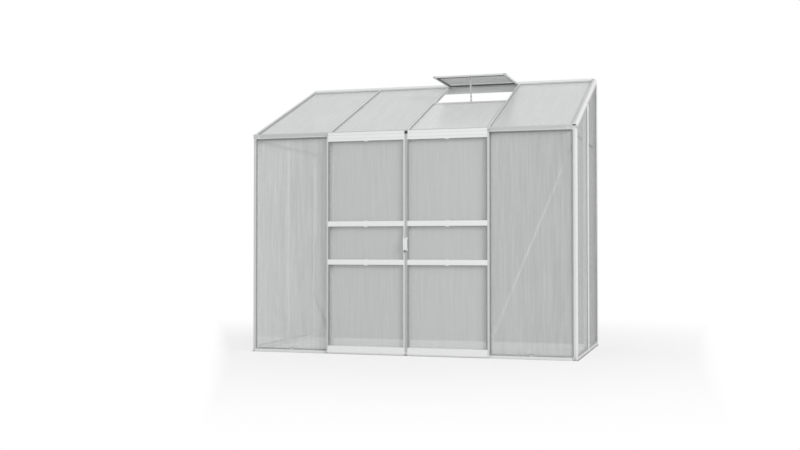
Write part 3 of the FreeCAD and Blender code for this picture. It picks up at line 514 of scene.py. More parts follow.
class Finishes:
    """Every finish on the greenhouse, made once."""

    def __init__(self) -> None:
        """Make the materials."""
        wide, deep = Across.ALONG_WALL, Across.FROM_WALL
        self.coat = PowderCoat("white_powder_coat", light=0.71, dark=0.685).make()
        # The white coat painted lighter: painted light on the parts that it dresses.
        self.painted_light_coat = PowderCoat("bright_powder_coat", light=0.865, dark=0.84).make()
        # The white coat painted darker: painted shade on the eave, the stiles and the hood's beads.
        self.painted_shade_coat = PowderCoat("shaded_powder_coat", light=0.65, dark=0.625).make()
        # The white coat painted darker still: painted shade on the left brace, the rafters' caps and the
        # vent's stay.
        self.deep_painted_shade_coat = PowderCoat("grey_powder_coat", light=0.56, dark=0.53).make()
        self.door_pane = TwinWall("twin_wall_door", wide, dark=0.638, light=0.668, cover=0.42).make()
        # The front bays' copy is lighter on the left and darker on the right: painted light and shade.
        self.bay_pane = TwinWall(
            "twin_wall_bay", wide, dark=0.64, light=0.69, cover=0.42, painted_shade_slope=0.119, streaks=0.30
        ).make()
        # The end walls' copy is darker than the front's, darker towards the wall and lighter at the front:
        # painted shade and light.
        self.end_pane = TwinWall(
            "twin_wall_end", deep, dark=0.365, light=0.395, cover=0.30, gloss=0.12, painted_shade_slope=0.55, streaks=0.25
        ).make()
        # The roof's copy is lighter than the front's, and a little darker to the right: painted light from
        # the sky and painted shade.
        self.roof_pane = TwinWall(
            "twin_wall_roof", wide, dark=0.73, light=0.77, cover=0.62, painted_shade_slope=0.02
        ).make()
        # The copy below the vent is lighter still: painted light against the vent's shadow.
        self.vent_bay_pane = TwinWall("twin_wall_vent_bay", wide, dark=0.80, light=0.84, cover=0.62).make()
        self.vent_pane = TwinWall(
            "twin_wall_vent", wide, dark=0.585, light=0.615, cover=0.26, gloss=0.12
        ).make()
        self.rubber = SealRubber(
            "seal_rubber", fresh=0.55, worn=0.616, roughness=0.6, grains=900.0, relief=4e-5
        ).make()
        self.nylon = Moulding(
            "black_nylon", fresh=0.022, worn=0.05, roughness=0.42, grains=1300.0, relief=2e-5, tint=NYLON_TINT
        ).make()
        # The gaskets' greys are partly grey rubber and partly painted shade: the dark joints beside the
        # panes, under the eave and at the panes' feet.
        self.gasket = Moulding("glazing_gasket", fresh=0.30, worn=0.38).make()
        self.sill_gasket = Moulding("sill_gasket", fresh=0.45, worn=0.54).make()
        self.end_gasket = Moulding("end_gasket", fresh=0.37, worn=0.42).make()
        self.painted = Moulding(
            "painted_steel", fresh=0.78, worn=0.85, roughness=0.38, grains=500.0, relief=2e-5, tint=COAT_TINT
        ).make()
        self.clip = Moulding(
            "clip_plastic", fresh=0.72, worn=0.79, roughness=0.40, grains=1200.0, relief=2e-5
        ).make()
        self.zinc = ZincSteel().make()

    def dress(self, node: str, material: bpy.types.Material) -> None:
        """Put a material on every slot of a CAD node."""
        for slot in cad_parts[node].material_slots:
            slot.material = material

    def glaze(self, node: str, material: bpy.types.Material) -> None:
        """Put a pane's material on a CAD node, and let the light through it."""
        self.dress(node, material)
        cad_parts[node].visible_shadow = False


@dataclass(frozen=True)
class Line:
    """An edge that a strip runs along: its start, its whole run, and the two directions of an outline."""

    start: Vector
    along: Vector
    across: Vector
    out: Vector


@dataclass(frozen=True)
class EdgeGasket:
    """A soft gasket over the joint between a bar and the pane beside it."""

    lap: float
    reach: float
    sink: float = 0.0023
    proud: float = 0.0012
    bed: float = 0.0002

    @property
    def outline(self) -> Outline:
        """Its outline, as (towards the pane, out of the bar's face), from the bar's edge."""
        soft = self.proud / 2
        return (
            (-self.lap, -self.bed),
            (-self.lap + soft, self.proud),
            (soft, self.proud),
            (self.reach, soft - self.sink),
            (self.reach, -self.sink),
            (0.0, -self.sink),
            (0.0, -self.bed),
        )


class Piece:
    """A new piece: a mesh made with bmesh operators, which rides on a body."""

    smooth_under = math.radians(35.0)
    screw_sides = 16
    screw_taper = 0.72
    screw_height = 0.8
    screw_recess = 0.3

    def __init__(self, name: str) -> None:
        """Start an empty mesh."""
        self.name = name
        self.mesh = bmesh.new()

    def run(self, line: Line, outline: Outline) -> None:
        """Extrude an outline along a line.

        Args:
            line: where it runs.
            outline: its points, as (across, out).
        """
        section = [line.start + line.across * across + line.out * out for across, out in outline]
        near = [self.mesh.verts.new(point) for point in section]
        far = [self.mesh.verts.new(vert.co + line.along) for vert in near]
        for corners in (near, far, *zip(near, near[1:] + near[:1], far[1:] + far[:1], far)):
            self.mesh.faces.new(corners)

    def block(self, low: Vector, high: Vector, edge: float) -> None:
        """Add a block with rounded edges.

        Args:
            low: its lowest corner.
            high: its highest corner.
            edge: the radius of its edges.
        """
        middle = (low + high) / 2
        size = high - low
        place = Matrix.Translation(middle) @ Matrix.Diagonal((*size, 1.0))
        made = bmesh.ops.create_cube(self.mesh, size=1.0, matrix=place)
        edges = list(dict.fromkeys(edge_of for vert in made["verts"] for edge_of in vert.link_edges))
        bmesh.ops.bevel(
            self.mesh, geom=edges, offset=edge, segments=2, profile=0.5, affect="EDGES", material=-1
        )

    def screw(self, at: Point, facing: Vector, radius: float) -> None:
        """Add a tapered screw head with a round recess.

        Args:
            at: the middle of its seat.
            facing: the way its head looks.
            radius: the head's radius.
        """
        turn = facing.to_track_quat("Z", "Y").to_matrix().to_4x4()
        place = Matrix.Translation(Vector(at)) @ turn
        made = bmesh.ops.create_cone(
            self.mesh,
            cap_ends=True,
            segments=self.screw_sides,
            radius1=radius,
            radius2=radius * self.screw_taper,
            depth=radius * self.screw_height,
            matrix=place @ Matrix.Translation((0.0, 0.0, radius * self.screw_height / 2)),
        )
        top = max(
            (face for vert in made["verts"] for face in vert.link_faces),
            key=lambda face: (face.calc_center_median() - Vector(at)).dot(facing),
        )
        bmesh.ops.inset_region(self.mesh, faces=[top], thickness=radius * self.screw_recess)
        bmesh.ops.translate(self.mesh, verts=top.verts, vec=facing * -radius * self.screw_recess)

    def finish(self, body: str, material: bpy.types.Material) -> None:
        """Make the object, dress it and set it on its body.

        Args:
            body: the body that it rides on.
            material: its finish.
        """
        bmesh.ops.remove_doubles(self.mesh, verts=self.mesh.verts, dist=1e-6)
        bmesh.ops.recalc_face_normals(self.mesh, faces=self.mesh.faces)
        for face in self.mesh.faces:
            face.smooth = True
        for edge in self.mesh.edges:
            edge.smooth = len(edge.link_faces) == 2 and edge.calc_face_angle(0.0) <= self.smooth_under
        data = bpy.data.meshes.new(self.name)
        self.mesh.to_mesh(data)
        self.mesh.free()
        data.materials.append(material)
        made = bpy.data.objects.new(self.name, data)
        bpy.context.scene.collection.objects.link(made)
        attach(made, body)
        LOG.info("%s rides on %s: %d faces", self.name, body, len(data.polygons))


@dataclass(frozen=True)
class Slope:
    """The plane through the tops of the roof's bars."""

    front: float = -0.619
    eave: float = 1.701
    pitch: float = math.radians(21.9)

    @property
    def up(self) -> Vector:
        """The direction up the slope."""
        return Vector((0.0, math.cos(self.pitch), math.sin(self.pitch)))

    @property
    def out(self) -> Vector:
        """The direction square to the slope."""
        return Vector((0.0, -math.sin(self.pitch), math.cos(self.pitch)))

    def at(self, x: float, y: float, above: float = 0.0) -> Vector:
        """The point with this x and y that lies in the plane, or this far above it."""
        run = (y - self.front + above * math.sin(self.pitch)) / math.cos(self.pitch)
        return Vector((x, self.front, self.eave)) + self.up * run + self.out * above

    def strip(self, x: float, hand: int, y: Tuple[float, float], above: float) -> Line:
        """A line up the slope from one y to another. Its outline turns towards this hand."""
        foot, head = (self.at(x, depth, above) for depth in y)
        return Line(foot, head - foot, RIGHT * hand, self.out)


@dataclass
class FixedFrame:
    """Posts, bars, eave, ridge and their panes, with the gaskets along the panes."""

    finishes: Finishes
    slope: Slope = Slope()
    corner_gasket: EdgeGasket = EdgeGasket(0.007, 0.0015, proud=0.0035)
    door_gasket: EdgeGasket = EdgeGasket(0.016, 0.0015)
    cill_gasket: EdgeGasket = EdgeGasket(0.019, 0.002)
    foot_gasket: EdgeGasket = EdgeGasket(0.006, 0.010)
    head_gasket: EdgeGasket = EdgeGasket(0.001, 0.011)
    bar_half: float = 0.006
    lip_sunk: float = -0.009
    pane_sunk: float = -0.0113
    skirt: float = 0.056
    gasket_setback: float = 0.004
    cap_setback: float = 0.012
    cover_inset: float = 0.001
    cover_foot: float = 0.002
    plug_inner: float = 0.004
    plug_outer: float = 0.008
    plug_front: float = -0.0012
    plug_rear: float = 0.004
    plug_foot: float = -0.0105
    plug_top: float = -0.0005
    plug_edge: float = 0.0006
    clip_half: float = 0.014
    clip_edge: float = 0.0005
    clip_plate: Outline = ((-0.0030, -0.0120), (0.0000, 0.0060))
    clip_hook: Outline = ((-0.0030, 0.0022), (0.0021, 0.0060))
    lip_gasket: Outline = (
        (0.0, 0.0), (0.006, 0.0), (0.006, 0.0008), (0.0016, 0.0016), (0.001, 0.0065), (0.0, 0.007),
    )
    pane_gasket: Outline = (
        (0.0, 0.0), (0.0045, 0.0), (0.0045, 0.0008), (0.0016, 0.002), (0.001, 0.0085), (0.0, 0.009),
    )
    seal: Outline = ((-0.0012, -0.0002), (-0.0004, 0.0012), (0.0255, 0.0012), (0.0262, -0.0002))
    rafter_cap: Outline = (
        (-0.0160, -0.0002), (-0.0154, 0.0012), (0.0004, 0.0012), (0.0012, 0.0004), (0.0012, -0.0100),
        (0.0000, -0.0100), (0.0000, -0.0002),
    )
    cover: Outline = (
        (0.0, -0.0002), (0.0, 0.0066), (0.0012, 0.0080), (0.0128, 0.0080), (0.0140, 0.0066),
        (0.0140, -0.0002),
    )

    coated_pairs: Tuple[str, ...] = ("corner_post", "door_post", "end_cill", "end_rafter")
    coated: Tuple[str, ...] = (
        "left_roof_bar", "centre_roof_bar", "right_roof_bar", "vent_crossbar",
        "track_stops", "left_wall_post", "left_end_bar",
    )
    # Nodes in the white coat painted lighter: painted light.
    painted_light_nodes: Tuple[str, ...] = ("front_cill", "ridge_bar", "right_brace", "right_wall_post", "right_end_bar")

    @property
    def cill_top(self) -> float:
        """The height of the cills' upper faces."""
        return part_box("left_end_cill")[1].z

    def dress(self) -> None:
        """Put the finishes on the fixed nodes."""
        for side in Side:
            for piece in self.coated_pairs:
                self.finishes.dress(side.node(piece), self.finishes.coat)
            self.finishes.dress(side.node("end_tie"), self.finishes.zinc)
            self.finishes.glaze(side.node("front_pane"), self.finishes.bay_pane)
            self.finishes.glaze(side.node("end_panes"), self.finishes.end_pane)
        for node in self.coated:
            self.finishes.dress(node, self.finishes.coat)
        for node in self.painted_light_nodes:
            self.finishes.dress(node, self.finishes.painted_light_coat)
        self.finishes.glaze("roof_panes", self.finishes.roof_pane)
        self.finishes.glaze("vent_bay_pane", self.finishes.vent_bay_pane)
        # The left brace wears the white coat painted darker still: painted shade.
        self.finishes.dress("left_brace", self.finishes.deep_painted_shade_coat)
        # The eave's face wears the white coat painted darker: painted shade.
        self.finishes.dress("eave_track", self.finishes.painted_shade_coat)
        self.finishes.dress("frame_bolts", self.finishes.zinc)

    def front_gasket(self, side: Side) -> None:
        """Make the gasket round a fixed front pane.

        Args:
            side: the pane's side.
        """
        inner = side.value * reach(side.node("door_post"))[1]
        outer = side.value * reach(side.node("corner_post"))[0]
        foot = Vector((inner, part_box(side.node("corner_post"))[0].y, self.cill_top))
        rise = UP * (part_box("eave_track")[0].z - foot.z)
        width = RIGHT * (outer - inner)
        piece = Piece(side.node("front_gasket"))
        # The gasket's grey is partly rubber and partly painted shade where the pane meets the posts, the eave
        # and the cill.
        piece.run(Line(foot, rise, side.outwards, FORWARD), self.door_gasket.outline)
        piece.run(Line(foot + width, rise, -side.outwards, FORWARD), self.corner_gasket.outline)
        piece.run(Line(foot + rise, width, DOWN, FORWARD), self.head_gasket.outline)
        piece.finish("frame", self.finishes.gasket)
        piece = Piece(side.node("sill_gasket"))
        piece.run(Line(foot, width, UP, FORWARD), self.cill_gasket.outline)
        piece.finish("frame", self.finishes.sill_gasket)

    def end_gasket(self, side: Side) -> None:
        """Make the gaskets along the feet of an end wall's two panes.

        Args:
            side: the end wall's side.
        """
        face = side.value * reach(side.node("corner_post"))[1]
        bar_low, bar_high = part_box(side.node("end_bar"))
        front_bay = (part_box(side.node("corner_post"))[1].y, bar_low.y)
        rear_bay = (bar_high.y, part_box(side.node("wall_post"))[0].y)
        # Their grey is partly rubber and partly painted shade along the panes' feet.
        piece = Piece(side.node("end_gaskets"))
        for front, rear in (front_bay, rear_bay):
            start = Vector((face, front, self.cill_top))
            piece.run(Line(start, BACK * (rear - front), UP, side.outwards), self.foot_gasket.outline)
        piece.finish("frame", self.finishes.gasket)

    def end_covers(self, side: Side) -> None:
        """Make the cover strips on the end wall's middle bar and on the post against the wall.

        Args:
            side: the end wall's side.
        """
        piece = Piece(side.node("end_covers"))
        for node in (side.node("end_bar"), side.node("wall_post")):
            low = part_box(node)[0]
            face = side.value * reach(node)[1]
            start = Vector((face, low.y + self.cover_inset, low.z + self.cover_foot))
            top = self.slope.at(0.0, low.y, -self.skirt / 2).z
            piece.run(Line(start, UP * (top - start.z), BACK, side.outwards), self.cover)
        # The covers wear the white coat painted lighter: painted light.
        piece.finish("frame", self.finishes.painted_light_coat)

    def bar_gaskets(self) -> None:
        """Make the gaskets up both sides of the roof's bars. Beside the vent they end below it."""
        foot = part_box("roof_panes")[0].y + self.gasket_setback
        whole = (foot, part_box("vent_top_rail")[0].y)
        beside_vent = (foot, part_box("vent_crossbar")[0].y)
        # Their grey is partly rubber and partly painted shade beside the bars.
        for name, left, right in (
            ("left", whole, whole),
            ("centre", whole, beside_vent),
            ("right", beside_vent, whole),
        ):
            piece = Piece(f"{name}_roof_bar_gaskets")
            low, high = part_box(f"{name}_roof_bar")
            middle = (low.x + high.x) / 2
            for hand, run in ((-1, left), (1, right)):
                line = self.slope.strip(middle + hand * self.bar_half, hand, run, self.lip_sunk)
                piece.run(line, self.lip_gasket)
            piece.finish("frame", self.finishes.gasket)

    def rafter_trim(self, side: Side) -> None:
        """Make the gasket along a rafter's inner side, and its cap.

        Args:
            side: the rafter's side.
        """
        low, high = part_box("roof_panes")
        x = side.value * reach(side.node("end_rafter"))[0]
        # Its grey is partly rubber and partly painted shade beside the rafter.
        piece = Piece(side.node("rafter_gasket"))
        run = (low.y + self.gasket_setback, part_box("vent_top_rail")[0].y)
        piece.run(self.slope.strip(x, -side.value, run, self.pane_sunk), self.pane_gasket)
        piece.finish("frame", self.finishes.gasket)
        piece = Piece(side.node("rafter_cap"))
        run = (low.y + self.cap_setback, high.y)
        piece.run(self.slope.strip(x, -side.value, run, 0.0), self.rafter_cap)
        # The cap wears the white coat painted darker still: painted shade.
        piece.finish("frame", self.finishes.deep_painted_shade_coat)

    def head_seal(self, side: Side) -> None:
        """Make the seal over the upper edges of the end panes, along the rafter's skirt.

        Args:
            side: the end wall's side.
        """
        x = side.value * reach(side.node("end_rafter"))[1]
        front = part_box(side.node("corner_post"))[1].y
        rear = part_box(side.node("wall_post"))[0].y
        foot, head = (self.slope.at(x, y, -self.skirt) for y in (front, rear))
        # The seal's grey is partly rubber and partly painted shade under the rafter's skirt.
        piece = Piece(side.node("head_seal"))
        piece.run(Line(foot, head - foot, self.slope.out, side.outwards), self.seal)
        piece.finish("frame", self.finishes.end_gasket)

    def corner_plug(self, side: Side) -> None:
        """Make the plug in the open top of a corner post, where the eave ends.

        Args:
            side: the post's side.
        """
        inner, outer = reach(side.node("corner_post"))
        ends = (side.value * (inner + self.plug_inner), side.value * (outer - self.plug_outer))
        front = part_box(side.node("corner_post"))[0].y
        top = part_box("eave_track")[1].z
        low = Vector((min(ends), front + self.plug_front, top + self.plug_foot))
        high = Vector((max(ends), front + self.plug_rear, top + self.plug_top))
        # The black plug is partly a plug and partly painted shade in the dark notch at the post's top.
        piece = Piece(side.node("corner_plug"))
        piece.block(low, high, self.plug_edge)
        piece.finish("frame", self.finishes.nylon)

    def cill_clip(self, side: Side) -> None:
        """Make the clip that holds the foot of a fixed front pane.

        Args:
            side: the pane's side.
        """
        middle = side.value * sum(reach(side.node("front_pane"))) / 2
        seat = Vector((middle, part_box(side.node("corner_post"))[0].y, self.cill_top))
        piece = Piece(side.node("cill_clip"))
        for (front, foot), (rear, head) in (self.clip_plate, self.clip_hook):
            low, high = Vector((-self.clip_half, front, foot)), Vector((self.clip_half, rear, head))
            piece.block(seat + low, seat + high, self.clip_edge)
        piece.finish("frame", self.finishes.clip)

    def build(self) -> None:
        """Dress the frame and make its own pieces. The plug is only on the right."""
        self.dress()
        for side in Side:
            self.front_gasket(side)
            self.end_gasket(side)
            self.end_covers(side)
            self.head_seal(side)
            self.cill_clip(side)
        self.corner_plug(Side.RIGHT)
        self.bar_gaskets()
        for side in Side:
            self.rafter_trim(side)


@dataclass
class DoorLeaf:
    """One sliding leaf: its finishes, the strips round its panes and its small fittings."""

    finishes: Finishes
    side: Side
    lip: float = 0.012
    rail_face: float = 0.039
    drip: float = 0.0075
    drip_edge_round: float = 0.001
    drip_deep: float = 0.024
    bead_drops: Tuple[float, ...] = (0.021, 0.047)
    bead_inset: float = 0.0005
    clip_half: float = 0.014
    clip_lap: float = 0.0008
    clip_hang: float = 0.0060
    clip_rise: float = 0.0030
    clip_proud: float = 0.0006
    clip_deep: float = 0.005
    clip_edge: float = 0.0004
    screw_inset: float = 0.0065
    screw_sink: float = 0.0004
    screw_radius: float = 0.0030
    plug_gap: float = 0.0012
    plug_share: float = 0.6
    plug_tall: float = 0.022
    plug_front: float = 0.0030
    plug_rear: float = 0.0130
    plug_lift: float = 0.0004
    plug_sunk: float = 0.0015
    plug_edge: float = 0.0006

    # Pieces in the white coat painted darker: painted shade.
    painted_shade_nodes: Tuple[str, ...] = ("outer_stile", "meeting_stile")
    # Pieces in the white coat painted lighter: painted light.
    painted_light_nodes: Tuple[str, ...] = ("top_rail", "bottom_rail", "mid_rails", "handle")
    black: Tuple[str, ...] = ("guides", "inner_wheel", "outer_wheel")
    strip: Outline = (
        (0.0002, -0.0236), (0.0002, -0.0022), (0.0012, -0.0012), (0.0048, -0.0012), (0.0054, -0.0022),
        (0.0064, -0.0022), (0.0070, -0.0012), (0.0090, -0.0012), (0.0100, -0.0022), (0.0100, -0.0236),
    )
    rail_strip: Outline = (
        (0.0002, -0.0258), (0.0002, -0.0020), (0.0008, -0.0014), (0.0044, -0.0014), (0.0052, -0.0024),
        (0.0052, -0.0258),
    )
    light_strip: Outline = (
        (0.0, -0.0236), (0.0, -0.0004), (0.0062, -0.0004), (0.0070, -0.0012), (0.0070, -0.0236),
    )
    meeting_strip: Outline = (
        (0.0, -0.0236), (0.0, -0.0002), (-0.0058, -0.0002), (-0.0052, 0.0010), (0.0030, 0.0010),
        (0.0052, -0.0014), (0.0060, -0.0236),
    )
    sweep: Outline = ((0.0, -0.0004), (0.0085, -0.0010), (0.0095, -0.0015), (0.0085, -0.0020), (0.0, -0.0024))
    bead: Outline = ((-0.0011, -0.0002), (-0.0006, 0.0006), (0.0006, 0.0006), (0.0011, -0.0002))

    def node(self, piece: str) -> str:
        """The name of one of this leaf's nodes."""
        return self.side.node(f"door_{piece}")

    @property
    def body(self) -> str:
        """The body that this leaf's pieces ride on."""
        return self.side.node("leaf")

    @property
    def edges(self) -> Tuple[float, float]:
        """How far from the middle the rails begin and end."""
        return reach(self.node("mid_rails"))

    @property
    def rails(self) -> List[Tuple[float, float]]:
        """The foot and the top of each rail, from the bottom up."""
        bottom, middle, top = (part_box(self.node(name)) for name in ("bottom_rail", "mid_rails", "top_rail"))
        return [
            (bottom[0].z, bottom[1].z),
            (middle[0].z, middle[0].z + self.rail_face),
            (middle[1].z - self.rail_face, middle[1].z),
            (top[0].z, top[1].z),
        ]

    @property
    def openings(self) -> List[Tuple[float, float]]:
        """The foot and the head of each pane's opening, the highest one below the drip edge."""
        between = [(foot, head) for (_, foot), (head, _) in zip(self.rails, self.rails[1:])]
        foot, head = between.pop()
        return [*between, (foot, head - self.drip)]

    def at(self, out: float, height: float) -> Vector:
        """The point on the leaf's front face this far from the middle of the wall, at this height."""
        return Vector((self.side.value * out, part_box(self.node("bottom_rail"))[0].y, height))

    def dress(self) -> None:
        """Put the finishes on the leaf's nodes."""
        for pieces, material in (
            (self.painted_shade_nodes, self.finishes.painted_shade_coat),
            (self.painted_light_nodes, self.finishes.painted_light_coat),
            (self.black, self.finishes.nylon),
            (("seal",), self.finishes.rubber),
            (("axles",), self.finishes.painted),
        ):
            for piece in pieces:
                self.finishes.dress(self.node(piece), material)
        self.finishes.glaze(self.node("panes"), self.finishes.door_pane)

    def glazing_strips(self) -> None:
        """Make the grey strips that hold the panes in the stiles, and a thinner one below each rail."""
        inner, outer = self.edges
        outwards = self.side.outwards
        uprights = [(outer, -outwards, self.strip)]
        if self.side is Side.RIGHT:
            uprights.append((inner, outwards, self.meeting_strip))
        width = outwards * (outer - inner - 2 * self.lip)
        # The strips' grey is partly rubber and partly painted shade: the dark recesses beside the stiles and
        # the shade under each rail.
        piece = Piece(self.node("glazing_strips"))
        for foot, head in self.openings:
            for edge, across, outline in uprights:
                piece.run(Line(self.at(edge, foot), UP * (head - foot), across, FORWARD), outline)
            piece.run(Line(self.at(inner + self.lip, head), width, DOWN, FORWARD), self.rail_strip)
        piece.finish(self.body, self.finishes.gasket)

    def stile_strip(self) -> None:
        """Make the light strip along the meeting stile."""
        piece = Piece(self.node("stile_strip"))
        for foot, head in self.openings:
            start = self.at(self.edges[0], foot)
            piece.run(Line(start, UP * (head - foot), self.side.outwards, FORWARD), self.light_strip)
        piece.finish(self.body, self.finishes.coat)

    def drip_edge(self) -> None:
        """Make the drip edge under the hood and the sweep under the bottom rail."""
        inner, outer = self.edges
        width = self.side.outwards * (outer - inner)
        edge = (
            (0.0, 0.0),
            (self.drip - self.drip_edge_round, 0.0),
            (self.drip, -self.drip_edge_round),
            (self.drip, -self.drip_deep),
            (0.0, -self.drip_deep),
        )
        piece = Piece(self.node("drip_edge"))
        piece.run(Line(self.at(inner, self.rails[-1][0]), width, DOWN, FORWARD), edge)
        # The drip edge wears the white coat painted lighter: painted light.
        piece.finish(self.body, self.finishes.painted_light_coat)
        piece = Piece(self.node("sweep"))
        piece.run(Line(self.at(inner, self.rails[0][0]), width, DOWN, FORWARD), self.sweep)
        piece.finish(self.body, self.finishes.clip)

    def hood_beads(self) -> None:
        """Make the fine beads along the hood's face."""
        inner, outer = self.edges
        width = self.side.outwards * (outer - inner - 2 * self.bead_inset)
        piece = Piece(self.node("hood_beads"))
        for drop in self.bead_drops:
            start = self.at(inner + self.bead_inset, self.rails[-1][1] - drop)
            piece.run(Line(start, width, UP, FORWARD), self.bead)
        # The beads wear the white coat painted darker: painted shade.
        piece.finish(self.body, self.finishes.painted_shade_coat)

    def clips(self) -> None:
        """Make the small clips at the middle of each rail, which hook over the pane's edge."""
        seat = self.at(sum(self.edges) / 2, 0.0)
        bottom, lower, upper, top = self.rails
        feet = (lower[0], upper[0], top[0] - self.drip)
        heads = (bottom[1], lower[1], upper[1])
        tabs = [(foot - self.clip_hang, foot + self.clip_lap) for foot in feet]
        tabs += [(head - self.clip_lap, head + self.clip_rise) for head in heads]
        piece = Piece(self.node("clips"))
        for foot, head in tabs:
            low = Vector((-self.clip_half, -self.clip_proud, foot))
            high = Vector((self.clip_half, self.clip_deep, head))
            piece.block(seat + low, seat + high, self.clip_edge)
        piece.finish(self.body, self.finishes.clip)

    def handle_screws(self) -> None:
        """Make the two screws through the handle's feet."""
        low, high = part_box(self.node("handle"))
        piece = Piece(self.node("handle_screws"))
        for z in (low.z + self.screw_inset, high.z - self.screw_inset):
            at = ((low.x + high.x) / 2, low.y + self.screw_sink, z)
            piece.screw(at, FORWARD, self.screw_radius)
        piece.finish(self.body, self.finishes.zinc)

    def head_plug(self) -> None:
        """Make the plug over the meeting stile, in the gap between the two hoods."""
        stile_low, stile_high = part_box(self.node("meeting_stile"))
        top = self.rails[-1][1]
        ends = (self.side.value * self.plug_gap, self.side.value * self.edges[0] * self.plug_share)
        foot = min(stile_high.z, top - self.plug_tall) + self.plug_lift
        low = Vector((min(ends), stile_low.y + self.plug_front, foot))
        high = Vector((max(ends), stile_low.y + self.plug_rear, top - self.plug_sunk))
        # The black plug is partly a plug and partly painted shade in the dark gap where the hoods end.
        piece = Piece(self.node("head_plug"))
        piece.block(low, high, self.plug_edge)
        piece.finish(self.body, self.finishes.nylon)

    def build(self) -> None:
        """Dress the leaf and make its own pieces. The light strip is only on the left leaf."""
        self.dress()
        self.glazing_strips()
        if self.side is Side.LEFT:
            self.stile_strip()
        self.drip_edge()
        self.hood_beads()
        self.clips()
        self.handle_screws()
        self.head_plug()


@dataclass
class RoofVent:
    """The hinged roof vent with its stay."""

    finishes: Finishes
    rail: float = 0.020
    top_gasket: EdgeGasket = EdgeGasket(0.0020, 0.0030)
    under_gasket: EdgeGasket = EdgeGasket(0.0040, 0.0060, 0.0053)

    def dress(self) -> None:
        """Put the finishes on the vent and its stay."""
        for node in ("vent_bottom_rail", "vent_side_rails"):
            self.finishes.dress(node, self.finishes.coat)
        # The top rail wears the white coat painted lighter: painted light.
        self.finishes.dress("vent_top_rail", self.finishes.painted_light_coat)
        # The stay wears the white coat painted darker still: painted shade.
        self.finishes.dress("vent_stay", self.finishes.deep_painted_shade_coat)
        self.finishes.glaze("vent_pane", self.finishes.vent_pane)

    def gasket(self, name: str, out: Vector, face: float, outline: Outline) -> None:
        """Make the gasket round the pane, on the vent's upper or lower face.

        Args:
            name: the piece's name.
            out: up or down, away from that face.
            face: the height of that face.
            outline: the gasket's outline.
        """
        low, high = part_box("vent_side_rails")
        foot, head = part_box("vent_bottom_rail")[1].y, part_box("vent_top_rail")[0].y
        near_left = Vector((low.x + self.rail, foot, face))
        width = RIGHT * (high.x - low.x - 2 * self.rail)
        depth = BACK * (head - foot)
        piece = Piece(name)
        piece.run(Line(near_left, depth, RIGHT, out), outline)
        piece.run(Line(near_left + width, depth, -RIGHT, out), outline)
        piece.run(Line(near_left, width, BACK, out), outline)
        piece.run(Line(near_left + depth, width, -BACK, out), outline)
        piece.finish("vent", self.finishes.nylon)

    def build(self) -> None:
        """Dress the vent and make its own pieces."""
        self.dress()
        low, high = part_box("vent_side_rails")
        # Both gaskets are black nylon, and the one underneath also stands for the shadow gap below the pane:
        # painted shade.
        self.gasket("vent_top_gasket", UP, high.z, self.top_gasket.outline)
        self.gasket("vent_under_gasket", DOWN, low.z, self.under_gasket.outline)


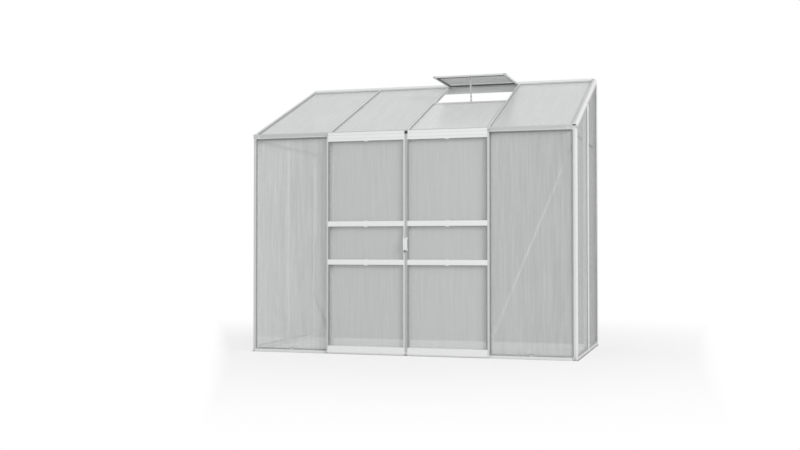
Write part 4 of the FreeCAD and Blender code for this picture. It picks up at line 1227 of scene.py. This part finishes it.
@dataclass
class Floor:
    """A pale floor that keeps the shadow near the object, and is white far away and at both sides.

    Each of its fades is a soft line: the shares of x and y in a sum, and where that starts and ends.
    """

    grey: float
    colour: Colour = (0.86, 0.86, 0.86)
    half: float = 40.0
    squares: int = 8
    dull_share: float = 0.985
    specks_per_metre: float = 60.0
    roughness: float = 0.9
    specular: float = 0.1
    shine: float = 0.62
    through: float = 0.16
    behind: float = 0.69
    behind_soft: float = 0.05
    near: float = 1.2
    far: float = 4.5
    contact: float = 0.016
    contact_under: float = 0.004
    contact_full: float = 0.0064
    contact_share: float = 0.78
    contact_rear: float = 0.67
    contact_left: float = 0.01
    front_share: float = 0.25
    front: float = -Slope.front
    fades: Tuple[Tuple[float, ...], ...] = ((-1.0, -0.4857, 1.72, 1.95), (1.0, 0.0264, 2.0, 2.25))

    def whiteness(self, x: Wire, y: Wire) -> Wire:
        """How white the floor is.

        Args:
            x: the place along the wall.
            y: the place from the front to the wall.

        Returns:
            One far away or beyond a fade, and zero near the object.
        """
        white = (x * x + y * y).power(0.5).step(self.near, self.far)
        for x_share, y_share, start, end in self.fades:
            white = white.largest((x * x_share + y * y_share).step(start, end))
        return white

    def painted_contact_shadow(self, x: Wire, y: Wire) -> Wire:
        """The painted shadow: a dark line along the foot of the object's front and of its right end.

        Args:
            x: the place along the wall.
            y: the place from the front to the wall.

        Returns:
            How much of the light it takes away.
        """
        half = CAD_BOX[1].x
        outside = (x.absolute() - half).largest((-1 * y - self.front) * self.front_share)
        line = outside.step(-self.contact_under, 0.0) * (1 - outside.step(self.contact_full, self.contact))
        line = line * self.contact_share * (1 - y.step(self.contact_rear, self.behind))
        return line * x.step(-half, -half + self.contact_left)

    def material(self) -> bpy.types.Material:
        """Build the floor's finish.

        Returns:
            Its material.
        """
        material, shader = new_material("studio_floor")
        x, y, _ = shader.place()
        seen, through = shader.sight()
        # A painted contact shadow darkens the floor along the object's foot.
        contact = self.painted_contact_shadow(x, y)
        dull = tuple(part * self.dull_share for part in self.colour)
        colour = shader.blend(shader.noise(self.specks_per_metre, 3.0), dull, self.colour)
        colour = shader.shade(colour, 1 - contact)
        sockets = {"Base Color": colour, "Roughness": self.roughness, "Specular IOR Level": self.specular}
        pale = shader.node("ShaderNodeBsdfPrincipled", {}, sockets)
        white, grey = (
            shader.node("ShaderNodeEmission", {}, {"Color": (1.0, 1.0, 1.0, 1.0), "Strength": strength})
            for strength in (1.0, self.grey)
        )
        straight = self.shine + self.whiteness(x, y) * (1 - self.shine)
        straight = straight * (1 - through) * (1 - contact)
        share = (straight + through * self.through) * seen
        lit = shader.node("ShaderNodeMixShader", {}, {0: share, 1: pale.outputs[0], 2: white.outputs[0]})
        hidden = through * seen * y.step(self.behind - self.behind_soft, self.behind + self.behind_soft)
        both = shader.node("ShaderNodeMixShader", {}, {0: hidden, 1: lit.outputs[0], 2: grey.outputs[0]})
        shader.node("ShaderNodeOutputMaterial", {}, {"Surface": both.outputs[0]})
        return material

    def build(self) -> None:
        """Lay the floor."""
        mesh = bmesh.new()
        bmesh.ops.create_grid(mesh, x_segments=self.squares, y_segments=self.squares, size=self.half)
        data = bpy.data.meshes.new("floor")
        mesh.to_mesh(data)
        mesh.free()
        data.materials.append(self.material())
        made = bpy.data.objects.new("floor", data)
        bpy.context.scene.collection.objects.link(made)


@dataclass
class Studio:
    """The camera, the lamp, the floor and the white surroundings."""

    camera_at: Point = (2.2562, -8.3202, 0.8102)
    camera_turn: Point = (91.212, 0.0, 16.745)
    lens: float = 47.92
    sensor: float = 36.0
    light: float = 0.68
    seen_through: float = 0.40
    key_at: Point = (13.3, -9.4, 8.56)
    key_width: float = 7.5
    key_height: float = 5.625
    key_power: float = 1280.0
    key_aim: Point = (0.0, 0.0, 1.0)

    def build(self) -> None:
        """Set up everything round the object."""
        self.camera()
        self.world()
        self.key()
        Floor(self.seen_through).build()
        bpy.context.scene.view_settings.view_transform = "Standard"

    def camera(self) -> None:
        """Stand the camera in front of the doors, a little to the right."""
        data = bpy.data.cameras.new("camera")
        data.lens = self.lens
        data.sensor_width = self.sensor
        made = bpy.data.objects.new("camera", data)
        made.location = self.camera_at
        made.rotation_euler = [math.radians(angle) for angle in self.camera_turn]
        bpy.context.scene.collection.objects.link(made)
        bpy.context.scene.camera = made

    def world(self) -> None:
        """Surround the object: white to the camera, softer as a light, and grey through a pane."""
        world = bpy.data.worlds.new("surroundings")
        world.use_nodes = True
        bpy.context.scene.world = world
        shader = Shader(world.node_tree)
        seen, through = shader.sight()
        shown = 1 - through * (1 - self.seen_through)
        strength = self.light + seen * (shown - self.light)
        back = shader.node("ShaderNodeBackground", {}, {"Color": (1.0, 1.0, 1.0, 1.0), "Strength": strength})
        shader.node("ShaderNodeOutputWorld", {}, {"Surface": back.outputs[0]})

    def key(self) -> None:
        """Hang one large soft lamp, to the right of the front."""
        data = bpy.data.lights.new("key", "AREA")
        data.shape = "RECTANGLE"
        data.size = self.key_width
        data.size_y = self.key_height
        data.energy = self.key_power
        made = bpy.data.objects.new("key", data)
        made.location = self.key_at
        aim = Vector(self.key_aim) - made.location
        made.rotation_euler = aim.to_track_quat("-Z", "Y").to_euler()
        bpy.context.scene.collection.objects.link(made)


def main() -> None:
    """Build the studio, then each sub-assembly."""
    logging.basicConfig(level=logging.INFO, format="%(message)s")
    Studio().build()
    finishes = Finishes()
    FixedFrame(finishes).build()
    for side in Side:
        DoorLeaf(finishes, side).build()
    RoofVent(finishes).build()


if __name__ == "__main__":
    main()
